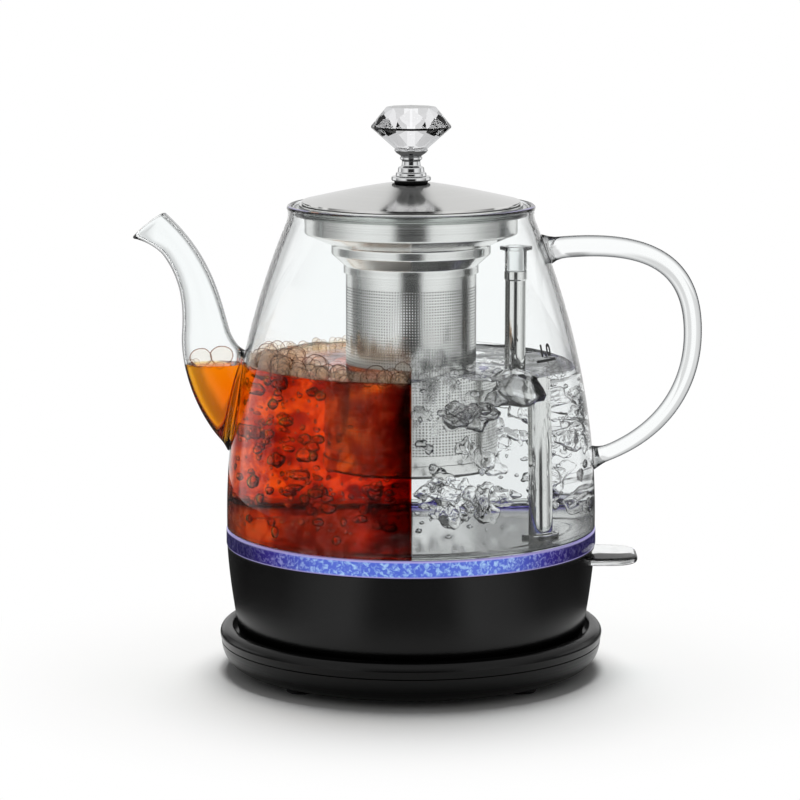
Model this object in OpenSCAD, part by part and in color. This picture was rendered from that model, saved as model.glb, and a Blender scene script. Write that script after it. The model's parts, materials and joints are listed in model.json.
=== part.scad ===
// Glass gooseneck kettle that lifts off a cordless power base, in millimetres.
// The origin lies on the table under the middle of the power base.
// +Z is up, the spout points to -X, and the handle and the switch lever are on +X.

/* [Power base] */
// Height of the lower shell, from its underside to the seam
base_side_h = 9.8; // [9:0.1:13]
// How far the lower shell draws in towards its underside
base_tuck = 8.8; // [5:0.1:12]
// Height of the upper shell above the seam
rim_h = 6.5; // [5.5:0.1:8]
// Width of the rounded rim round the tray
rim_w = 5.2; // [4.8:0.1:8]
// Depth of the tray below the top of the rim
tray_depth = 3.3; // [2:0.1:4]
// Wall of both power base shells
base_wall = 2.2; // [1.6:0.1:2.6]
// Diameter of each rubber foot
foot_d = 11; // [8:0.5:14]
// How far the feet stand out below the underside
foot_h = 2; // [1:0.1:4]
// Diameter of the connector boss that stands in the tray
socket_d = 35; // [32:0.5:38]
// Height of the connector boss above the tray
socket_h = 12; // [10:0.5:14]
// Diameter of the bore for the mains cord
cord_bore_d = 6.8; // [5:0.1:7.2]

/* [Kettle base] */
// Height of the black base shell
shell_h = 34.7; // [33:0.1:42]
// How far the base shell draws in towards its foot
shell_tuck = 4.4; // [2:0.1:6]
// Wall of the base shell
shell_wall = 2.4; // [1.8:0.1:3]
// Height of the light ring under the glass
light_ring_h = 6.5; // [5.5:0.1:9]
// How far the light ring stands proud of the glass
light_ring_proud = 0.3; // [0:0.1:0.6]
// Number of lights on the light board
light_count = 16; // [8:1:24]
// Diameter of the circle of the heating element
element_ring_d = 80; // [76:1:90]
// Diameter of the heating element's tube
element_d = 6.6; // [5:0.1:7]

/* [Glass jug] */
// Diameter of the jug at its foot
jug_d = 143.6; // [136:0.2:160]
// Height of the jug from the light ring to its lip
jug_h = 125.9; // [118:0.1:140]
// Diameter where the shoulder runs into the neck
throat_d = 96.4; // [92:0.2:104]
// Diameter of the flared lip
lip_d = 96; // [92:0.2:104]
// Height of the flared neck
neck_h = 6.9; // [6:0.1:9]
// Wall of the blown glass
glass_wall = 2.2; // [1.8:0.1:2.6]

/* [Spout] */
// How far the tip of the spout reaches past the foot of the jug
spout_reach = 27.2; // [20:0.1:34]
// Height of the middle of the spout's mouth above the foot of the jug
spout_h = 118.5; // [108:0.1:124]
// Height of the upright stretch of the spout above the foot of the jug
spout_mid_h = 75.5; // [70:0.1:80]
// Diameter of the spout's mouth
spout_tip_d = 11.8; // [10:0.1:14]
// Wall of the spout
spout_wall = 1.6; // [1.2:0.1:2]

/* [Handle] */
// How far the middle of the handle rod reaches past the foot of the jug
handle_reach = 37.5; // [32:0.1:46]
// Thickness of the rod at its upper end
handle_top_d = 8.6; // [7:0.1:10]
// Thickness of the rod at its lower end
handle_low_d = 6.2; // [5.5:0.1:8]

/* [Steam tube] */
// Distance of the steam tube from the middle, towards the handle
tube_x = 40; // [38.5:0.1:41]
// Distance of the steam tube from the middle, towards the front
tube_y = -8; // [-9:0.1:-7]
// Outer diameter of the steam tube
tube_d = 8; // [7:0.1:8.4]
// Depth of the steam cap's top below the lip
tube_drop = 15.4; // [14.8:0.1:20]
// Diameter of the steam cap's flange
cap_flange_d = 12.1; // [10:0.1:12.6]

/* [Infuser] */
// Height of the wide band of the collar
collar_h = 11; // [10:0.1:13]
// Diameter of the collar's middle step
step_d = 61.6; // [58:0.1:63]
// Diameter of the basket
basket_d = 52.2; // [46:0.1:54]
// Height of the basket
basket_h = 79; // [60:0.5:82]
// Thickness of the collar's sheet steel
collar_sheet = 0.7; // [0.5:0.1:0.9]
// Thickness of the basket's sheet steel
basket_sheet = 0.5; // [0.3:0.1:0.7]
// Width of the silicone seal round the collar
seal_w = 3.9; // [3.2:0.1:4.6]

/* [Lid and knob] */
// Rise of the lid's dome
dome_h = 8; // [6:0.1:14]
// Thickness of the lid's sheet steel
lid_sheet = 0.8; // [0.6:0.1:1]
// Height of the knob's turned stem
stem_h = 12.1; // [10.5:0.1:16]
// Diameter of the crystal at its girdle
crystal_d = 30.8; // [24:0.2:36]
// Height of the crystal
crystal_h = 16.2; // [12:0.1:20]

/* [Switch lever] */
// How far the lever reaches past the foot of the jug
lever_reach = 16.6; // [12:0.1:22]
// Width of the lever
lever_w = 30; // [24:0.5:31]
// Thickness of the lever
lever_t = 3; // [2.4:0.1:3.2]
// Angle from on to off
lever_angle = 8; // [4:0.5:8]

/* [Hidden] */
$fn = 96;

// Clearances
seat_gap = 0.3;
slip_gap = 0.3;
bond_gap = 0.15;
seam_gap = 0.4;
pin_gap = 0.05;
thread_gap = 0.05;
tray_gap = 2.2;
cut_over = 1;

// Radii that follow from the jug
jug_r = jug_d / 2;
throat_r = throat_d / 2;
lip_r = lip_d / 2;
shell_low_r = jug_r - shell_tuck;
tray_r = shell_low_r + tray_gap;
base_r = tray_r + rim_w;
base_floor_r = base_r - base_tuck;

// Heights, from the table up
z_base = foot_h;
z_seam = z_base + base_side_h;
z_rim = z_seam + rim_h;
z_tray = z_rim - tray_depth;
z_shell = z_tray + seat_gap;
z_ring = z_shell + shell_h;
z_jug = z_ring + light_ring_h;
z_lip = z_jug + jug_h;
z_throat = z_lip - neck_h;

// A point on a quadratic or a cubic curve
function curve3(p, t) = pow(1 - t, 2) * p[0] + 2 * t * (1 - t) * p[1] + t * t * p[2];
function curve4(p, t) = pow(1 - t, 3) * p[0] + 3 * t * pow(1 - t, 2) * p[1]
    + 3 * t * t * (1 - t) * p[2] + pow(t, 3) * p[3];
function run3(p, n) = [for (i = [0:n]) curve3(p, i / n)];
function run4(p, n) = [for (i = [0:n]) curve4(p, i / n)];
function arc(c, r, a0, a1, n = 8) =
    [for (i = [0:n]) let (a = a0 + (a1 - a0) * i / n) c + r * [cos(a), sin(a)]];
function unit(v) = v / norm(v);
function flip(p) = [for (i = [len(p) - 1:-1:0]) p[i]];

// A line moved sideways to its left by a distance, with mitred corners
function left_of(a, b) = let (d = unit(b - a)) [-d.y, d.x];
function beside(p, t) = let (last = len(p) - 1) [
    for (i = [0:last])
        let (
            before = left_of(p[max(i - 1, 0)], p[max(i, 1)]),
            after = left_of(p[min(i, last - 1)], p[min(i + 1, last)])
        )
        p[i] + t * (before + after) / (1 + before * after)
];

// A sheet of even thickness on the left of a line, turned round the axis
module turned_sheet(line, t) {
    rotate_extrude()
        polygon(concat(line, flip(beside(line, t))));
}

module turned_ring(r0, r1, z0, z1) {
    rotate_extrude()
        translate([r0, z0])
            square([r1 - r0, z1 - z0]);
}

// A disc or post at a place, between two heights
module post(place, r, z0, z1) {
    translate([place.x, place.y, z0])
        cylinder(r = r, h = z1 - z0);
}

// Copies on a circle
module on_circle(n, r, first = 0) {
    for (i = [0:n - 1])
        rotate(first + 360 * i / n)
            translate([r, 0, 0])
                children();
}

// A solid through rings of points, closed by a fan at each end
module solid_loft(rings) {
    n = len(rings);
    m = len(rings[0]);
    middle = function (r) [for (k = [0:2]) [for (p = r) p[k]] * [for (p = r) 1 / m]];
    ends = [middle(rings[0]), middle(rings[n - 1])];
    points = concat([for (r = rings) each r], ends);
    sides = [for (i = [0:n - 2], j = [0:m - 1]) let (
        a = i * m + j,
        b = i * m + (j + 1) % m
    ) each [[a, b, b + m], [a, b + m, a + m]]];
    caps = [for (j = [0:m - 1]) each [
        [n * m, (j + 1) % m, j],
        [n * m + 1, (n - 1) * m + j, (n - 1) * m + (j + 1) % m]
    ]];
    polyhedron(points = points, faces = concat(sides, caps));
}

// A tube between outer and inner rings of points, open at both ends
module tube_loft(outer, inner) {
    n = len(outer);
    m = len(outer[0]);
    off = n * m;
    points = concat([for (r = outer) each r], [for (r = inner) each r]);
    faces = [for (i = [0:n - 2], j = [0:m - 1]) let (
        a = i * m + j,
        b = i * m + (j + 1) % m
    ) each [
        [a, b, b + m], [a, b + m, a + m],
        [off + a, off + b + m, off + b], [off + a, off + a + m, off + b + m]
    ]];
    rims = [for (j = [0:m - 1]) let (
        k = (j + 1) % m,
        e = (n - 1) * m
    ) each [
        [j, off + j, off + k], [j, off + k, k],
        [e + j, off + e + k, off + e + j], [e + j, e + k, off + e + k]
    ]];
    polyhedron(points = points, faces = concat(faces, rims));
}

// A coil spring that stands on the XY plane
module coil(r, wire, turns, h) {
    steps = 12;
    solid_loft([
        for (i = [0:turns * steps])
            let (a = 360 * i / steps, z = wire / 2 + (h - wire) * i / (turns * steps))
            [for (s = [0:5]) let (b = -60 * s) [
                (r + wire / 2 * cos(b)) * cos(a),
                (r + wire / 2 * cos(b)) * sin(a),
                z + wire / 2 * sin(b)
            ]]
    ]);
}

// Glass jug: belly, neck and wall
belly_out = 1.4;
belly_h = 59.4;
belly_run = 11.2;
neck_run = 3.2;
jug_steps = 26;
neck_steps = 8;
z_glass = z_jug + bond_gap;
jug_curve = [
    [jug_r, z_glass],
    [jug_r, z_glass + belly_run],
    [jug_r + belly_out, z_glass + belly_h],
    [throat_r, z_throat]
];
lip_round = glass_wall / 2;
neck_curve = [
    jug_curve[3],
    jug_curve[3] + neck_run * unit(jug_curve[3] - jug_curve[2]),
    [lip_r, z_lip - lip_round]
];
jug_line = concat(
    run4(jug_curve, jug_steps),
    [for (i = [1:neck_steps]) curve3(neck_curve, i / neck_steps)]
);
mouth_r = curve3(neck_curve, 0.5).x - glass_wall;
port_r = 8;
port_drop = 32.5;
port_h = spout_mid_h - port_drop;
port_rise = 12;

// Radius of the jug's outside at a height, by halving
function jug_at(z, lo = 0, hi = 1, n = 18) = let (mid = (lo + hi) / 2, p = curve4(jug_curve, mid))
    n == 0 ? p.x : p.y > z ? jug_at(z, lo, mid, n - 1) : jug_at(z, mid, hi, n - 1);

module glass_jug() {
    inside = beside(jug_line, glass_wall);
    lip = arc([lip_r - lip_round, z_lip - lip_round], lip_round, 0, 180);
    color("azure", 0.35)
        difference() {
            rotate_extrude()
                polygon(concat(jug_line, lip, flip(inside)));
            for (z = [0, port_rise])
                translate([-jug_r / 2, 0, z_jug + port_h + z])
                    rotate([0, -90, 0])
                        cylinder(r = port_r, h = jug_r);
            translate([-jug_r * 1.5, -port_r, z_jug + port_h])
                cube([jug_r, 2 * port_r, port_rise]);
        }
}

// A glass branch grows out of the jug along a path in the XZ plane.
// path(u) gives the middle, half(u) the half widths in the plane and across it.
function branch_point(path, half, u, a) = let (
        p = path(u),
        d = unit(path(u + 0.002) - path(u - 0.002)),
        h = half(u)
    )
    [p.x - d.y * h.x * cos(a), h.y * sin(a), p.y + d.x * h.x * cos(a)];
function outside_jug(q) = norm([q.x, q.y]) - jug_at(q.z) - bond_gap;

// Where one line along the branch leaves the jug, between a place inside and one outside
function leaves_jug(path, half, a, inner, outer, n = 18) = let (
        mid = (inner + outer) / 2,
        clear = outside_jug(branch_point(path, half, mid, a)) > 0
    )
    n == 0 ? outer : clear ? leaves_jug(path, half, a, inner, mid, n - 1)
        : leaves_jug(path, half, a, mid, outer, n - 1);

// Spout: upright gooseneck with a drawn pouring lip
spout_root = [20, 13];
spout_sides = 28;
spout_rings = 22;
spout_lip_pull = 5;
spout_lip_drop = 1.6;
spout_rim_lift = 1.3;
spout_lip_from = 0.9;
spout_mid_reach = 7.8;
spout_join = 0.5;
spout_lean = [1.4, 13];
spout_start = [12, 29];
spout_start_run = [8, 2.5];
spout_tip_run = [16.5, 15];
spout_foot = [jug_r, z_jug + spout_mid_h] - spout_start;
spout_end = [jug_r + spout_reach, z_jug + spout_h];
spout_mid = [jug_r + spout_mid_reach, z_jug + spout_mid_h];
spout_low_curve = [
    spout_foot,
    spout_foot + spout_start_run,
    spout_mid - spout_lean,
    spout_mid
];
spout_high_curve = [
    spout_mid,
    spout_mid + spout_lean,
    spout_end - spout_tip_run,
    spout_end
];
mirror_x = function (p) [-p.x, p.y];
spout_path = function (u) mirror_x(
    u < spout_join ? curve4(spout_low_curve, u / spout_join)
        : curve4(spout_high_curve, (u - spout_join) / (1 - spout_join))
);
spout_half = function (u) let (grow = pow(max(1 - u, 0), 2), tip = spout_tip_d / 2)
    [tip + (spout_root.x - tip) * grow, tip + (spout_root.y - tip) * grow];
spout_bore = function (u) spout_half(u) - spout_wall * [1, 1];

// The lower side of the mouth is drawn out and down, most at its lowest point, and the rim rises at the sides
function pour_lip(q, u, a) = let (
        drawn = pow(max(0, (u - spout_lip_from) / (1 - spout_lip_from)), 2),
        low = pow((1 + cos(a)) / 2, 2),
        side = pow(sin(a), 2)
    )
    q + drawn * [-low * spout_lip_pull, 0, side * spout_rim_lift - low * spout_lip_drop];
function spout_skin(half) = [
    for (i = [0:spout_rings])
        [for (j = [0:spout_sides - 1])
            let (
                a = 180 - 360 * j / spout_sides,
                start = leaves_jug(spout_path, half, a, 0, spout_join * 1.2),
                u = start + (1 - start) * i / spout_rings
            )
            pour_lip(branch_point(spout_path, half, u, a), u, a)]
];

module glass_spout() {
    color("azure", 0.35)
        tube_loft(spout_skin(spout_half), spout_skin(spout_bore));
}

// Handle: one bent glass rod that thins towards its lower end
handle_sides = 18;
handle_rings = 34;
handle_side = [jug_r + handle_reach, z_jug + 75.5];
handle_top = [throat_r - 2.2, z_jug + 107.7];
handle_foot = [jug_r - 7.8, z_jug + 25];
handle_side_up = [0, 28];
handle_side_down = [0, 23];
handle_top_turn = [17.3, -39.5];
handle_foot_turn = [14.3, 44];
handle_top_curve = [
    handle_top,
    handle_side - handle_top_turn,
    handle_side + handle_side_up,
    handle_side
];
handle_low_curve = [
    handle_side,
    handle_side - handle_side_down,
    handle_side - handle_foot_turn,
    handle_foot
];
handle_path = function (u) u < 0.5 ? curve4(handle_top_curve, 2 * u) : curve4(handle_low_curve, 2 * u - 1);
handle_half = function (u)
    (handle_low_d + (handle_top_d - handle_low_d) * pow(max(1 - u, 0), 1.5)) / 2 * [1, 1];

module glass_handle() {
    color("azure", 0.35)
        solid_loft([
            for (i = [0:handle_rings])
                [for (j = [0:handle_sides - 1])
                    let (
                        a = 360 * j / handle_sides,
                        first = leaves_jug(handle_path, handle_half, a, 0, 0.3),
                        last = leaves_jug(handle_path, handle_half, a, 1, 0.7)
                    )
                    branch_point(handle_path, handle_half, first + (last - first) * i / handle_rings, a)]
        ]);
}

// Floor of the jug, its heater and the light ring
ring_r = jug_r + light_ring_proud;
ring_band = 3.1;
ring_shelf_w = 4;
ring_shelf_h = 3;
ring_edge = 0.8;
band_r = ring_r - ring_band;
plate_sheet = 0.8;
plate_drop = 1;
plate_edge_gap = 0.4;
plate_r = band_r - plate_edge_gap;
z_plate = z_jug - plate_drop;
z_shelf = z_ring + ring_shelf_h;
spreader_t = 3.2;
spreader_edge = 10;
spreader_r = element_ring_d / 2 + spreader_edge;
z_spreader = z_plate - plate_sheet - spreader_t;
tube_place = [tube_x, tube_y];
tube_r = tube_d / 2;

module light_ring() {
    color("mediumslateblue", 0.7)
        rotate_extrude()
            polygon(concat(
                [[band_r - ring_shelf_w, z_ring], [ring_r - ring_edge, z_ring]],
                arc([ring_r - ring_edge, z_ring + ring_edge], ring_edge, -90, 0, 4),
                arc([ring_r - ring_edge, z_jug - ring_edge], ring_edge, 0, 90, 4),
                [[band_r, z_jug], [band_r, z_shelf], [band_r - ring_shelf_w, z_shelf]]
            ));
}

module heater_plate() {
    color("silver")
        difference() {
            union() {
                turned_ring(0, plate_r, z_plate - plate_sheet, z_plate);
                turned_ring(plate_r - plate_sheet, plate_r, z_shelf, z_plate - plate_sheet / 2);
            }
            post(tube_place, tube_r + slip_gap, z_ring, z_jug);
        }
}

// The gasket lies on the plate's edge and stands up inside the glass
module plate_seal() {
    seal_r = jug_r - glass_wall - bond_gap;
    lip_t = 1.2;
    lip_h = 1.4;
    bed_w = 3;
    z_top = z_glass + bond_gap;
    color("gainsboro", 0.6)
        rotate_extrude()
            polygon([
                [plate_r - bed_w, z_plate], [band_r - bond_gap, z_plate], [band_r - bond_gap, z_top],
                [seal_r, z_top], [seal_r, z_top + lip_h], [seal_r - lip_t, z_top + lip_h],
                [seal_r - lip_t, z_top], [plate_r - bed_w, z_plate + plate_sheet]
            ]);
}

nut_r = 7;
nut_clear = 1;
nut_h = 4;
washer_t = 2;
z_nut = z_plate - plate_sheet - washer_t - nut_h;

module heat_spreader() {
    color("lightgray")
        difference() {
            turned_ring(0, spreader_r, z_spreader, z_plate - plate_sheet);
            post(tube_place, nut_r + nut_clear, z_ring, z_jug);
        }
}

// A ring of tube, flat where it is brazed to the spreader and open towards the switch,
// with a block and a cold pin at each end
module heating_element() {
    r = element_d / 2;
    flat = 50;
    opening = 110;
    place_r = element_ring_d / 2;
    z_mid = z_spreader - r * sin(flat);
    block_wall = 0.6;
    block_drop = 1;
    block_r = r + block_wall;
    z_block = z_mid - r - block_drop;
    pin_r = 1.7;
    pin_h = 7;
    color("dimgray") {
        translate([0, 0, z_mid])
            rotate(opening / 2)
                rotate_extrude(angle = 360 - opening)
                    translate([place_r, 0])
                        polygon(arc([0, 0], r, 180 - flat, 360 + flat, 16));
        for (side = [-1, 1])
            rotate(side * opening / 2)
                translate([place_r, 0, 0]) {
                    post([0, 0], block_r, z_block, z_spreader);
                    post([0, 0], pin_r, z_block - pin_h, z_block + cut_over);
                }
    }
}

// Steam tube through the floor, with its cap, seal and nut
tube_wall = 0.7;
tube_cup_r = tube_r + 0.35;
tube_cup_h = 3.1;
tube_collar_r = tube_r + 2.2;
tube_collar_h = 1.5;
tube_below = 14.5;
cap_flange_h = 1.4;
cap_neck_h = 8.1;
z_cap = z_lip - tube_drop;
z_tube = z_cap - cap_flange_h - cap_neck_h;

module steam_tube() {
    color("silver")
        translate(tube_place)
            difference() {
                union() {
                    turned_ring(0, tube_r, z_plate - tube_below, z_tube);
                    turned_ring(0, tube_collar_r, z_plate, z_plate + tube_collar_h);
                    turned_ring(0, tube_cup_r, z_tube - tube_cup_h, z_tube);
                }
                turned_ring(0, tube_r - tube_wall, z_plate - tube_below - cut_over, z_tube + cut_over);
            }
}

module steam_tube_cap() {
    plug_r = tube_r - tube_wall - bond_gap;
    plug_h = 6;
    bore_r = 2.2;
    color("white", 0.5)
        translate(tube_place)
            difference() {
                union() {
                    turned_ring(0, plug_r, z_tube - plug_h, z_tube + cut_over);
                    turned_ring(0, tube_r + bond_gap, z_tube, z_cap);
                    turned_ring(0, cap_flange_d / 2, z_cap - cap_flange_h, z_cap);
                }
                turned_ring(0, bore_r, z_tube - plug_h - cut_over, z_cap + cut_over);
            }
}

module steam_tube_seal() {
    color("gainsboro")
        translate(tube_place)
            turned_ring(tube_r + bond_gap, nut_r, z_plate - plate_sheet - washer_t, z_plate - plate_sheet);
}

module steam_tube_nut() {
    color("silver")
        translate(tube_place)
            difference() {
                translate([0, 0, z_nut])
                    cylinder(r = nut_r, h = nut_h, $fn = 6);
                post([0, 0], tube_r + thread_gap, z_nut - cut_over, z_nut + nut_h + cut_over);
            }
}

// Switch: pivot, lever and the bay that they need in the base
pivot_in = 17.8;
pivot_drop = 5.5;
pivot_x = jug_r - pivot_in;
pivot_z = z_ring - pivot_drop;
pin_r = 1.5;
slot_gap = 0.6;
slot_low = lever_t / 2 + slot_gap;
slot_high = lever_t / 2 + pivot_in * sin(lever_angle) + slot_gap;
lever_tip_x = jug_r + lever_reach;
lever_side_gap = 0.6;
bay_w = lever_w + 5;
bay_in = 9;
bay_below = 5;
bay_top_gap = 0.4;
tongue_w = 16;
tongue_x = pivot_x + 5.3;
blade_x = pivot_x + 12.5;

// Base shell and what closes it
shell_steps = 10;
cover_rise = 1.2;
cover_web = 1;
z_cover = z_shell + cover_rise;
cover_t = 2.2;
z_inside = z_cover + cover_t;
cover_r = shell_low_r - shell_wall - slip_gap;
boss_r = 4;
boss_edge = 0.5;
boss_place_r = cover_r - boss_r - boss_edge;
boss_h = 12;
boss_end = 2;
screw_end = 1;
screw_r = 1.5;
screw_head_r = 3;
screw_head_h = 2;
screw_slot = [4, 0.8, 0.8];
screw_first = 60;
board_t = 1.6;
ledge_h = 2;
ledge_w = 3;
board_drop = 2.4;
z_board = z_ring - board_drop - board_t;
board_inset = 1.2;
board_r = shell_low_r - board_inset;
board_w = 10;
shell_pull = [0.6, 0.6];
shell_line = run3([
    [shell_low_r, z_shell],
    [jug_r - shell_pull.x, z_shell + shell_h * shell_pull.y],
    [jug_r, z_ring]
], shell_steps);
ledge_r = jug_r - shell_wall * 0.75;

module switch_bay() {
    translate([pivot_x - bay_in, -bay_w / 2, pivot_z - bay_below])
        cube([jug_r, bay_w, pivot_drop + bay_below - bay_top_gap]);
}

// A moulded shell with a flat top edge, which the light ring lies on
module base_shell() {
    z_boss_end = z_inside + boss_h;
    color([0.07, 0.07, 0.075])
        difference() {
            union() {
                turned_sheet(shell_line, shell_wall);
                difference() {
                    turned_ring(board_r - ledge_w, ledge_r, z_board - ledge_h, z_board);
                    switch_bay();
                }
                on_circle(3, boss_place_r, screw_first)
                    difference() {
                        union() {
                            post([0, 0], boss_r, z_inside, z_boss_end);
                            translate([0, -boss_r / 2, z_inside])
                                cube([boss_r + shell_wall, boss_r, boss_h]);
                        }
                        post([0, 0], screw_r + thread_gap, z_inside - cut_over, z_boss_end - boss_end);
                    }
            }
            turned_ring(ledge_r - shell_wall, ring_r, z_ring, z_jug);
            translate([jug_r - 3 * shell_wall, -lever_w / 2 - lever_side_gap, pivot_z - slot_low])
                cube([4 * shell_wall, lever_w + 2 * lever_side_gap, slot_low + slot_high]);
        }
}

socket_r = socket_d / 2;
socket_clear = 0.8;
recess_r = socket_r + socket_clear;

module bottom_cover() {
    drain_r = 2;
    drain_out = 4;
    rib_r = cover_r - 9;
    rib_w = 1.5;
    rib_h = 0.8;
    color([0.1, 0.1, 0.1])
        difference() {
            union() {
                turned_ring(recess_r, cover_r, z_cover, z_inside);
                turned_ring(rib_r, rib_r + rib_w, z_cover - rib_h, z_cover);
            }
            on_circle(3, boss_place_r, screw_first) {
                post([0, 0], screw_r + slip_gap, z_shell - cut_over, z_inside + cut_over);
                post([0, 0], screw_head_r + slip_gap, z_shell - cut_over, z_inside - cover_web);
            }
            on_circle(6, (socket_r + cover_r) / 2 + drain_out, screw_first / 2)
                post([0, 0], drain_r, z_shell - cut_over, z_inside + cut_over);
        }
}

// A slotted screw with its head below a seat and its shank up from there
module screw(z_seat, shank_h) {
    z_slot = z_seat - screw_head_h;
    difference() {
        union() {
            post([0, 0], screw_head_r, z_slot, z_seat);
            post([0, 0], screw_r, z_seat, z_seat + shank_h);
        }
        translate([-screw_slot.x / 2, -screw_slot.y / 2, z_slot - cut_over])
            cube([screw_slot.x, screw_slot.y, cut_over + screw_slot.z]);
    }
}

// The screws' heads lie below the cover's inner web
module cover_screws() {
    color("silver")
        on_circle(3, boss_place_r, screw_first)
            screw(z_inside - cover_web, cover_web + boss_h - boss_end - screw_end);
}

module light_board() {
    color("darkgreen")
        difference() {
            turned_ring(board_r - board_w, board_r, z_board, z_board + board_t);
            switch_bay();
        }
}

module board_lights() {
    light_w = 3.5;
    light_h = 1.8;
    light_in = 3;
    place_r = board_r - light_in;
    edge = asin((bay_w / 2 + light_w) / place_r);
    color("white")
        for (i = [0:light_count - 1])
            rotate(edge + (360 - 2 * edge) * i / (light_count - 1))
                translate([place_r - light_w / 2, -light_w / 2, z_board + board_t])
                    cube([light_w, light_w, light_h]);
}

// Cordless connector: boss on the power base, recess in the control unit
z_socket = z_tray + socket_h;
post_r = 6.8;
well_r = socket_r - 3.5;
well_floor = 2;
flange_r = socket_r + 5.5;
flange_t = 1.8;
z_flange = z_tray - base_wall - flange_t;
cap_low = 6;
cap_t = 3;
z_cap_ring = z_socket - cap_low - cap_t;
plug_gap = 1.6;
earth_r = 2;
earth_gap = 0.4;
spring_gap = 0.1;

module connector_socket() {
    color([0.12, 0.12, 0.12])
        difference() {
            union() {
                turned_ring(0, flange_r, z_flange, z_flange + flange_t);
                turned_ring(0, socket_r, z_flange, z_socket);
            }
            turned_ring(post_r, well_r, z_flange + well_floor, z_socket + cut_over);
            post([0, 0], earth_r + earth_gap, z_cap_ring, z_socket + cut_over);
        }
}

module connector_cap() {
    color("dimgray")
        turned_ring(post_r + slip_gap, well_r - slip_gap, z_cap_ring, z_cap_ring + cap_t);
}

module cap_spring() {
    wire = 1;
    turns = 2;
    z_low = z_flange + well_floor + spring_gap;
    color("silver")
        translate([0, 0, z_low])
            coil((post_r + well_r) / 2, wire, turns, z_cap_ring - z_low - spring_gap);
}

module contact_blades() {
    blade = [5, 0.8, 5.5];
    blade_out = 1;
    color("goldenrod")
        on_circle(3, post_r + blade_out, 30)
            translate([-blade.x / 2, -blade.y / 2, z_flange - blade.z])
                cube(blade);
}

// The control unit hangs under the heater on three studs
control_wall = 6.5;
control_r = socket_r + control_wall;
control_top = 8.5;
z_control = z_spreader - control_top;
recess_gap = 1;
z_recess = z_socket + recess_gap;
plug_r0 = post_r + plug_gap + earth_gap;
plug_r1 = well_r - plug_gap;
z_plug = z_cap_ring + cap_t + seat_gap;
stud_r = 1.6;
stud_in = 3.6;
stud_place_r = control_r - stud_in;

module control_unit() {
    chamfer = 3;
    color([0.16, 0.16, 0.16])
        rotate_extrude()
            polygon([
                [recess_r, z_inside], [control_r, z_inside], [control_r, z_control - chamfer],
                [control_r - chamfer / 3, z_control], [0, z_control], [0, z_recess], [plug_r0, z_recess],
                [plug_r0, z_plug], [plug_r1, z_plug], [plug_r1, z_recess], [recess_r, z_recess]
            ]);
}

module control_studs() {
    color("silver")
        on_circle(3, stud_place_r, 0)
            post([0, 0], stud_r, z_control, z_spreader);
}

module boil_dry_cutouts() {
    can_r = 6;
    cap_r = 4.5;
    cap_h = 1.5;
    color("silver")
        on_circle(2, control_r / 2, 90) {
            post([0, 0], can_r, z_control, z_spreader - cap_h);
            post([0, 0], cap_r, z_spreader - cap_h, z_spreader);
        }
}

// Earth pin in the middle and a live ring on each side of the plug
module connector_contacts() {
    ring_t = 0.6;
    ring_rise = 0.7;
    earth_rise = 1;
    z_low = z_plug + ring_rise;
    color("goldenrod") {
        post([0, 0], earth_r, z_cap_ring + earth_rise, z_recess);
        turned_ring(plug_r0 - ring_t, plug_r0, z_low, z_recess);
        turned_ring(plug_r1, plug_r1 + ring_t, z_low, z_recess);
    }
}

// Switch frame: two ears for the pin and a shelf for the bimetal and the spring
ear_t = 2.4;
ear_in = 12.6;
ear_half = 4.5;
ear_above = 3.5;
shelf_t = 2;
shelf_drop = 9.5;
shelf_in = 8;
shelf_out = 4;
z_shelf_switch = pivot_z - shelf_drop;
shelf_x0 = tube_x - shelf_in;
spring_out = 5;
spring_x = pivot_x + spring_out;
rocker_wall = 1.4;
rocker_half_t = lever_t / 2 + rocker_wall;
pin_press = 0.02;

module switch_frame() {
    color([0.16, 0.16, 0.16])
        difference() {
            union() {
                for (side = [-1, 1])
                    translate([pivot_x - ear_half, side * (ear_in + ear_t / 2) - ear_t / 2, z_inside])
                        cube([2 * ear_half, ear_t, pivot_z + ear_above - z_inside]);
                translate([shelf_x0, -ear_in - ear_t, z_shelf_switch - shelf_t])
                    cube([spring_x + shelf_out - shelf_x0, 2 * (ear_in + ear_t), shelf_t]);
            }
            translate([pivot_x, 0, pivot_z])
                rotate([90, 0, 0])
                    cylinder(r = pin_r + pin_press, h = 4 * ear_in, center = true);
        }
}

module lever_pin() {
    color("silver")
        translate([pivot_x, 0, pivot_z])
            rotate([90, 0, 0])
                cylinder(r = pin_r, h = 2 * (ear_in + ear_t), center = true);
}

module steam_bimetal() {
    disc_r = 6;
    disc_t = 0.6;
    rest_h = 1.6;
    rest_w = 1.5;
    color("goldenrod")
        translate(tube_place) {
            turned_ring(disc_r - rest_w, disc_r, z_shelf_switch, z_shelf_switch + rest_h);
            turned_ring(0, disc_r, z_shelf_switch + rest_h, z_shelf_switch + rest_h + disc_t);
        }
}

module toggle_spring() {
    coil_r = 2.6;
    wire = 0.8;
    turns = 4;
    color("silver")
        translate([spring_x, 0, z_shelf_switch + spring_gap])
            coil(coil_r, wire, turns, shelf_drop - rocker_half_t - spring_gap - seat_gap);
}

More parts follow.
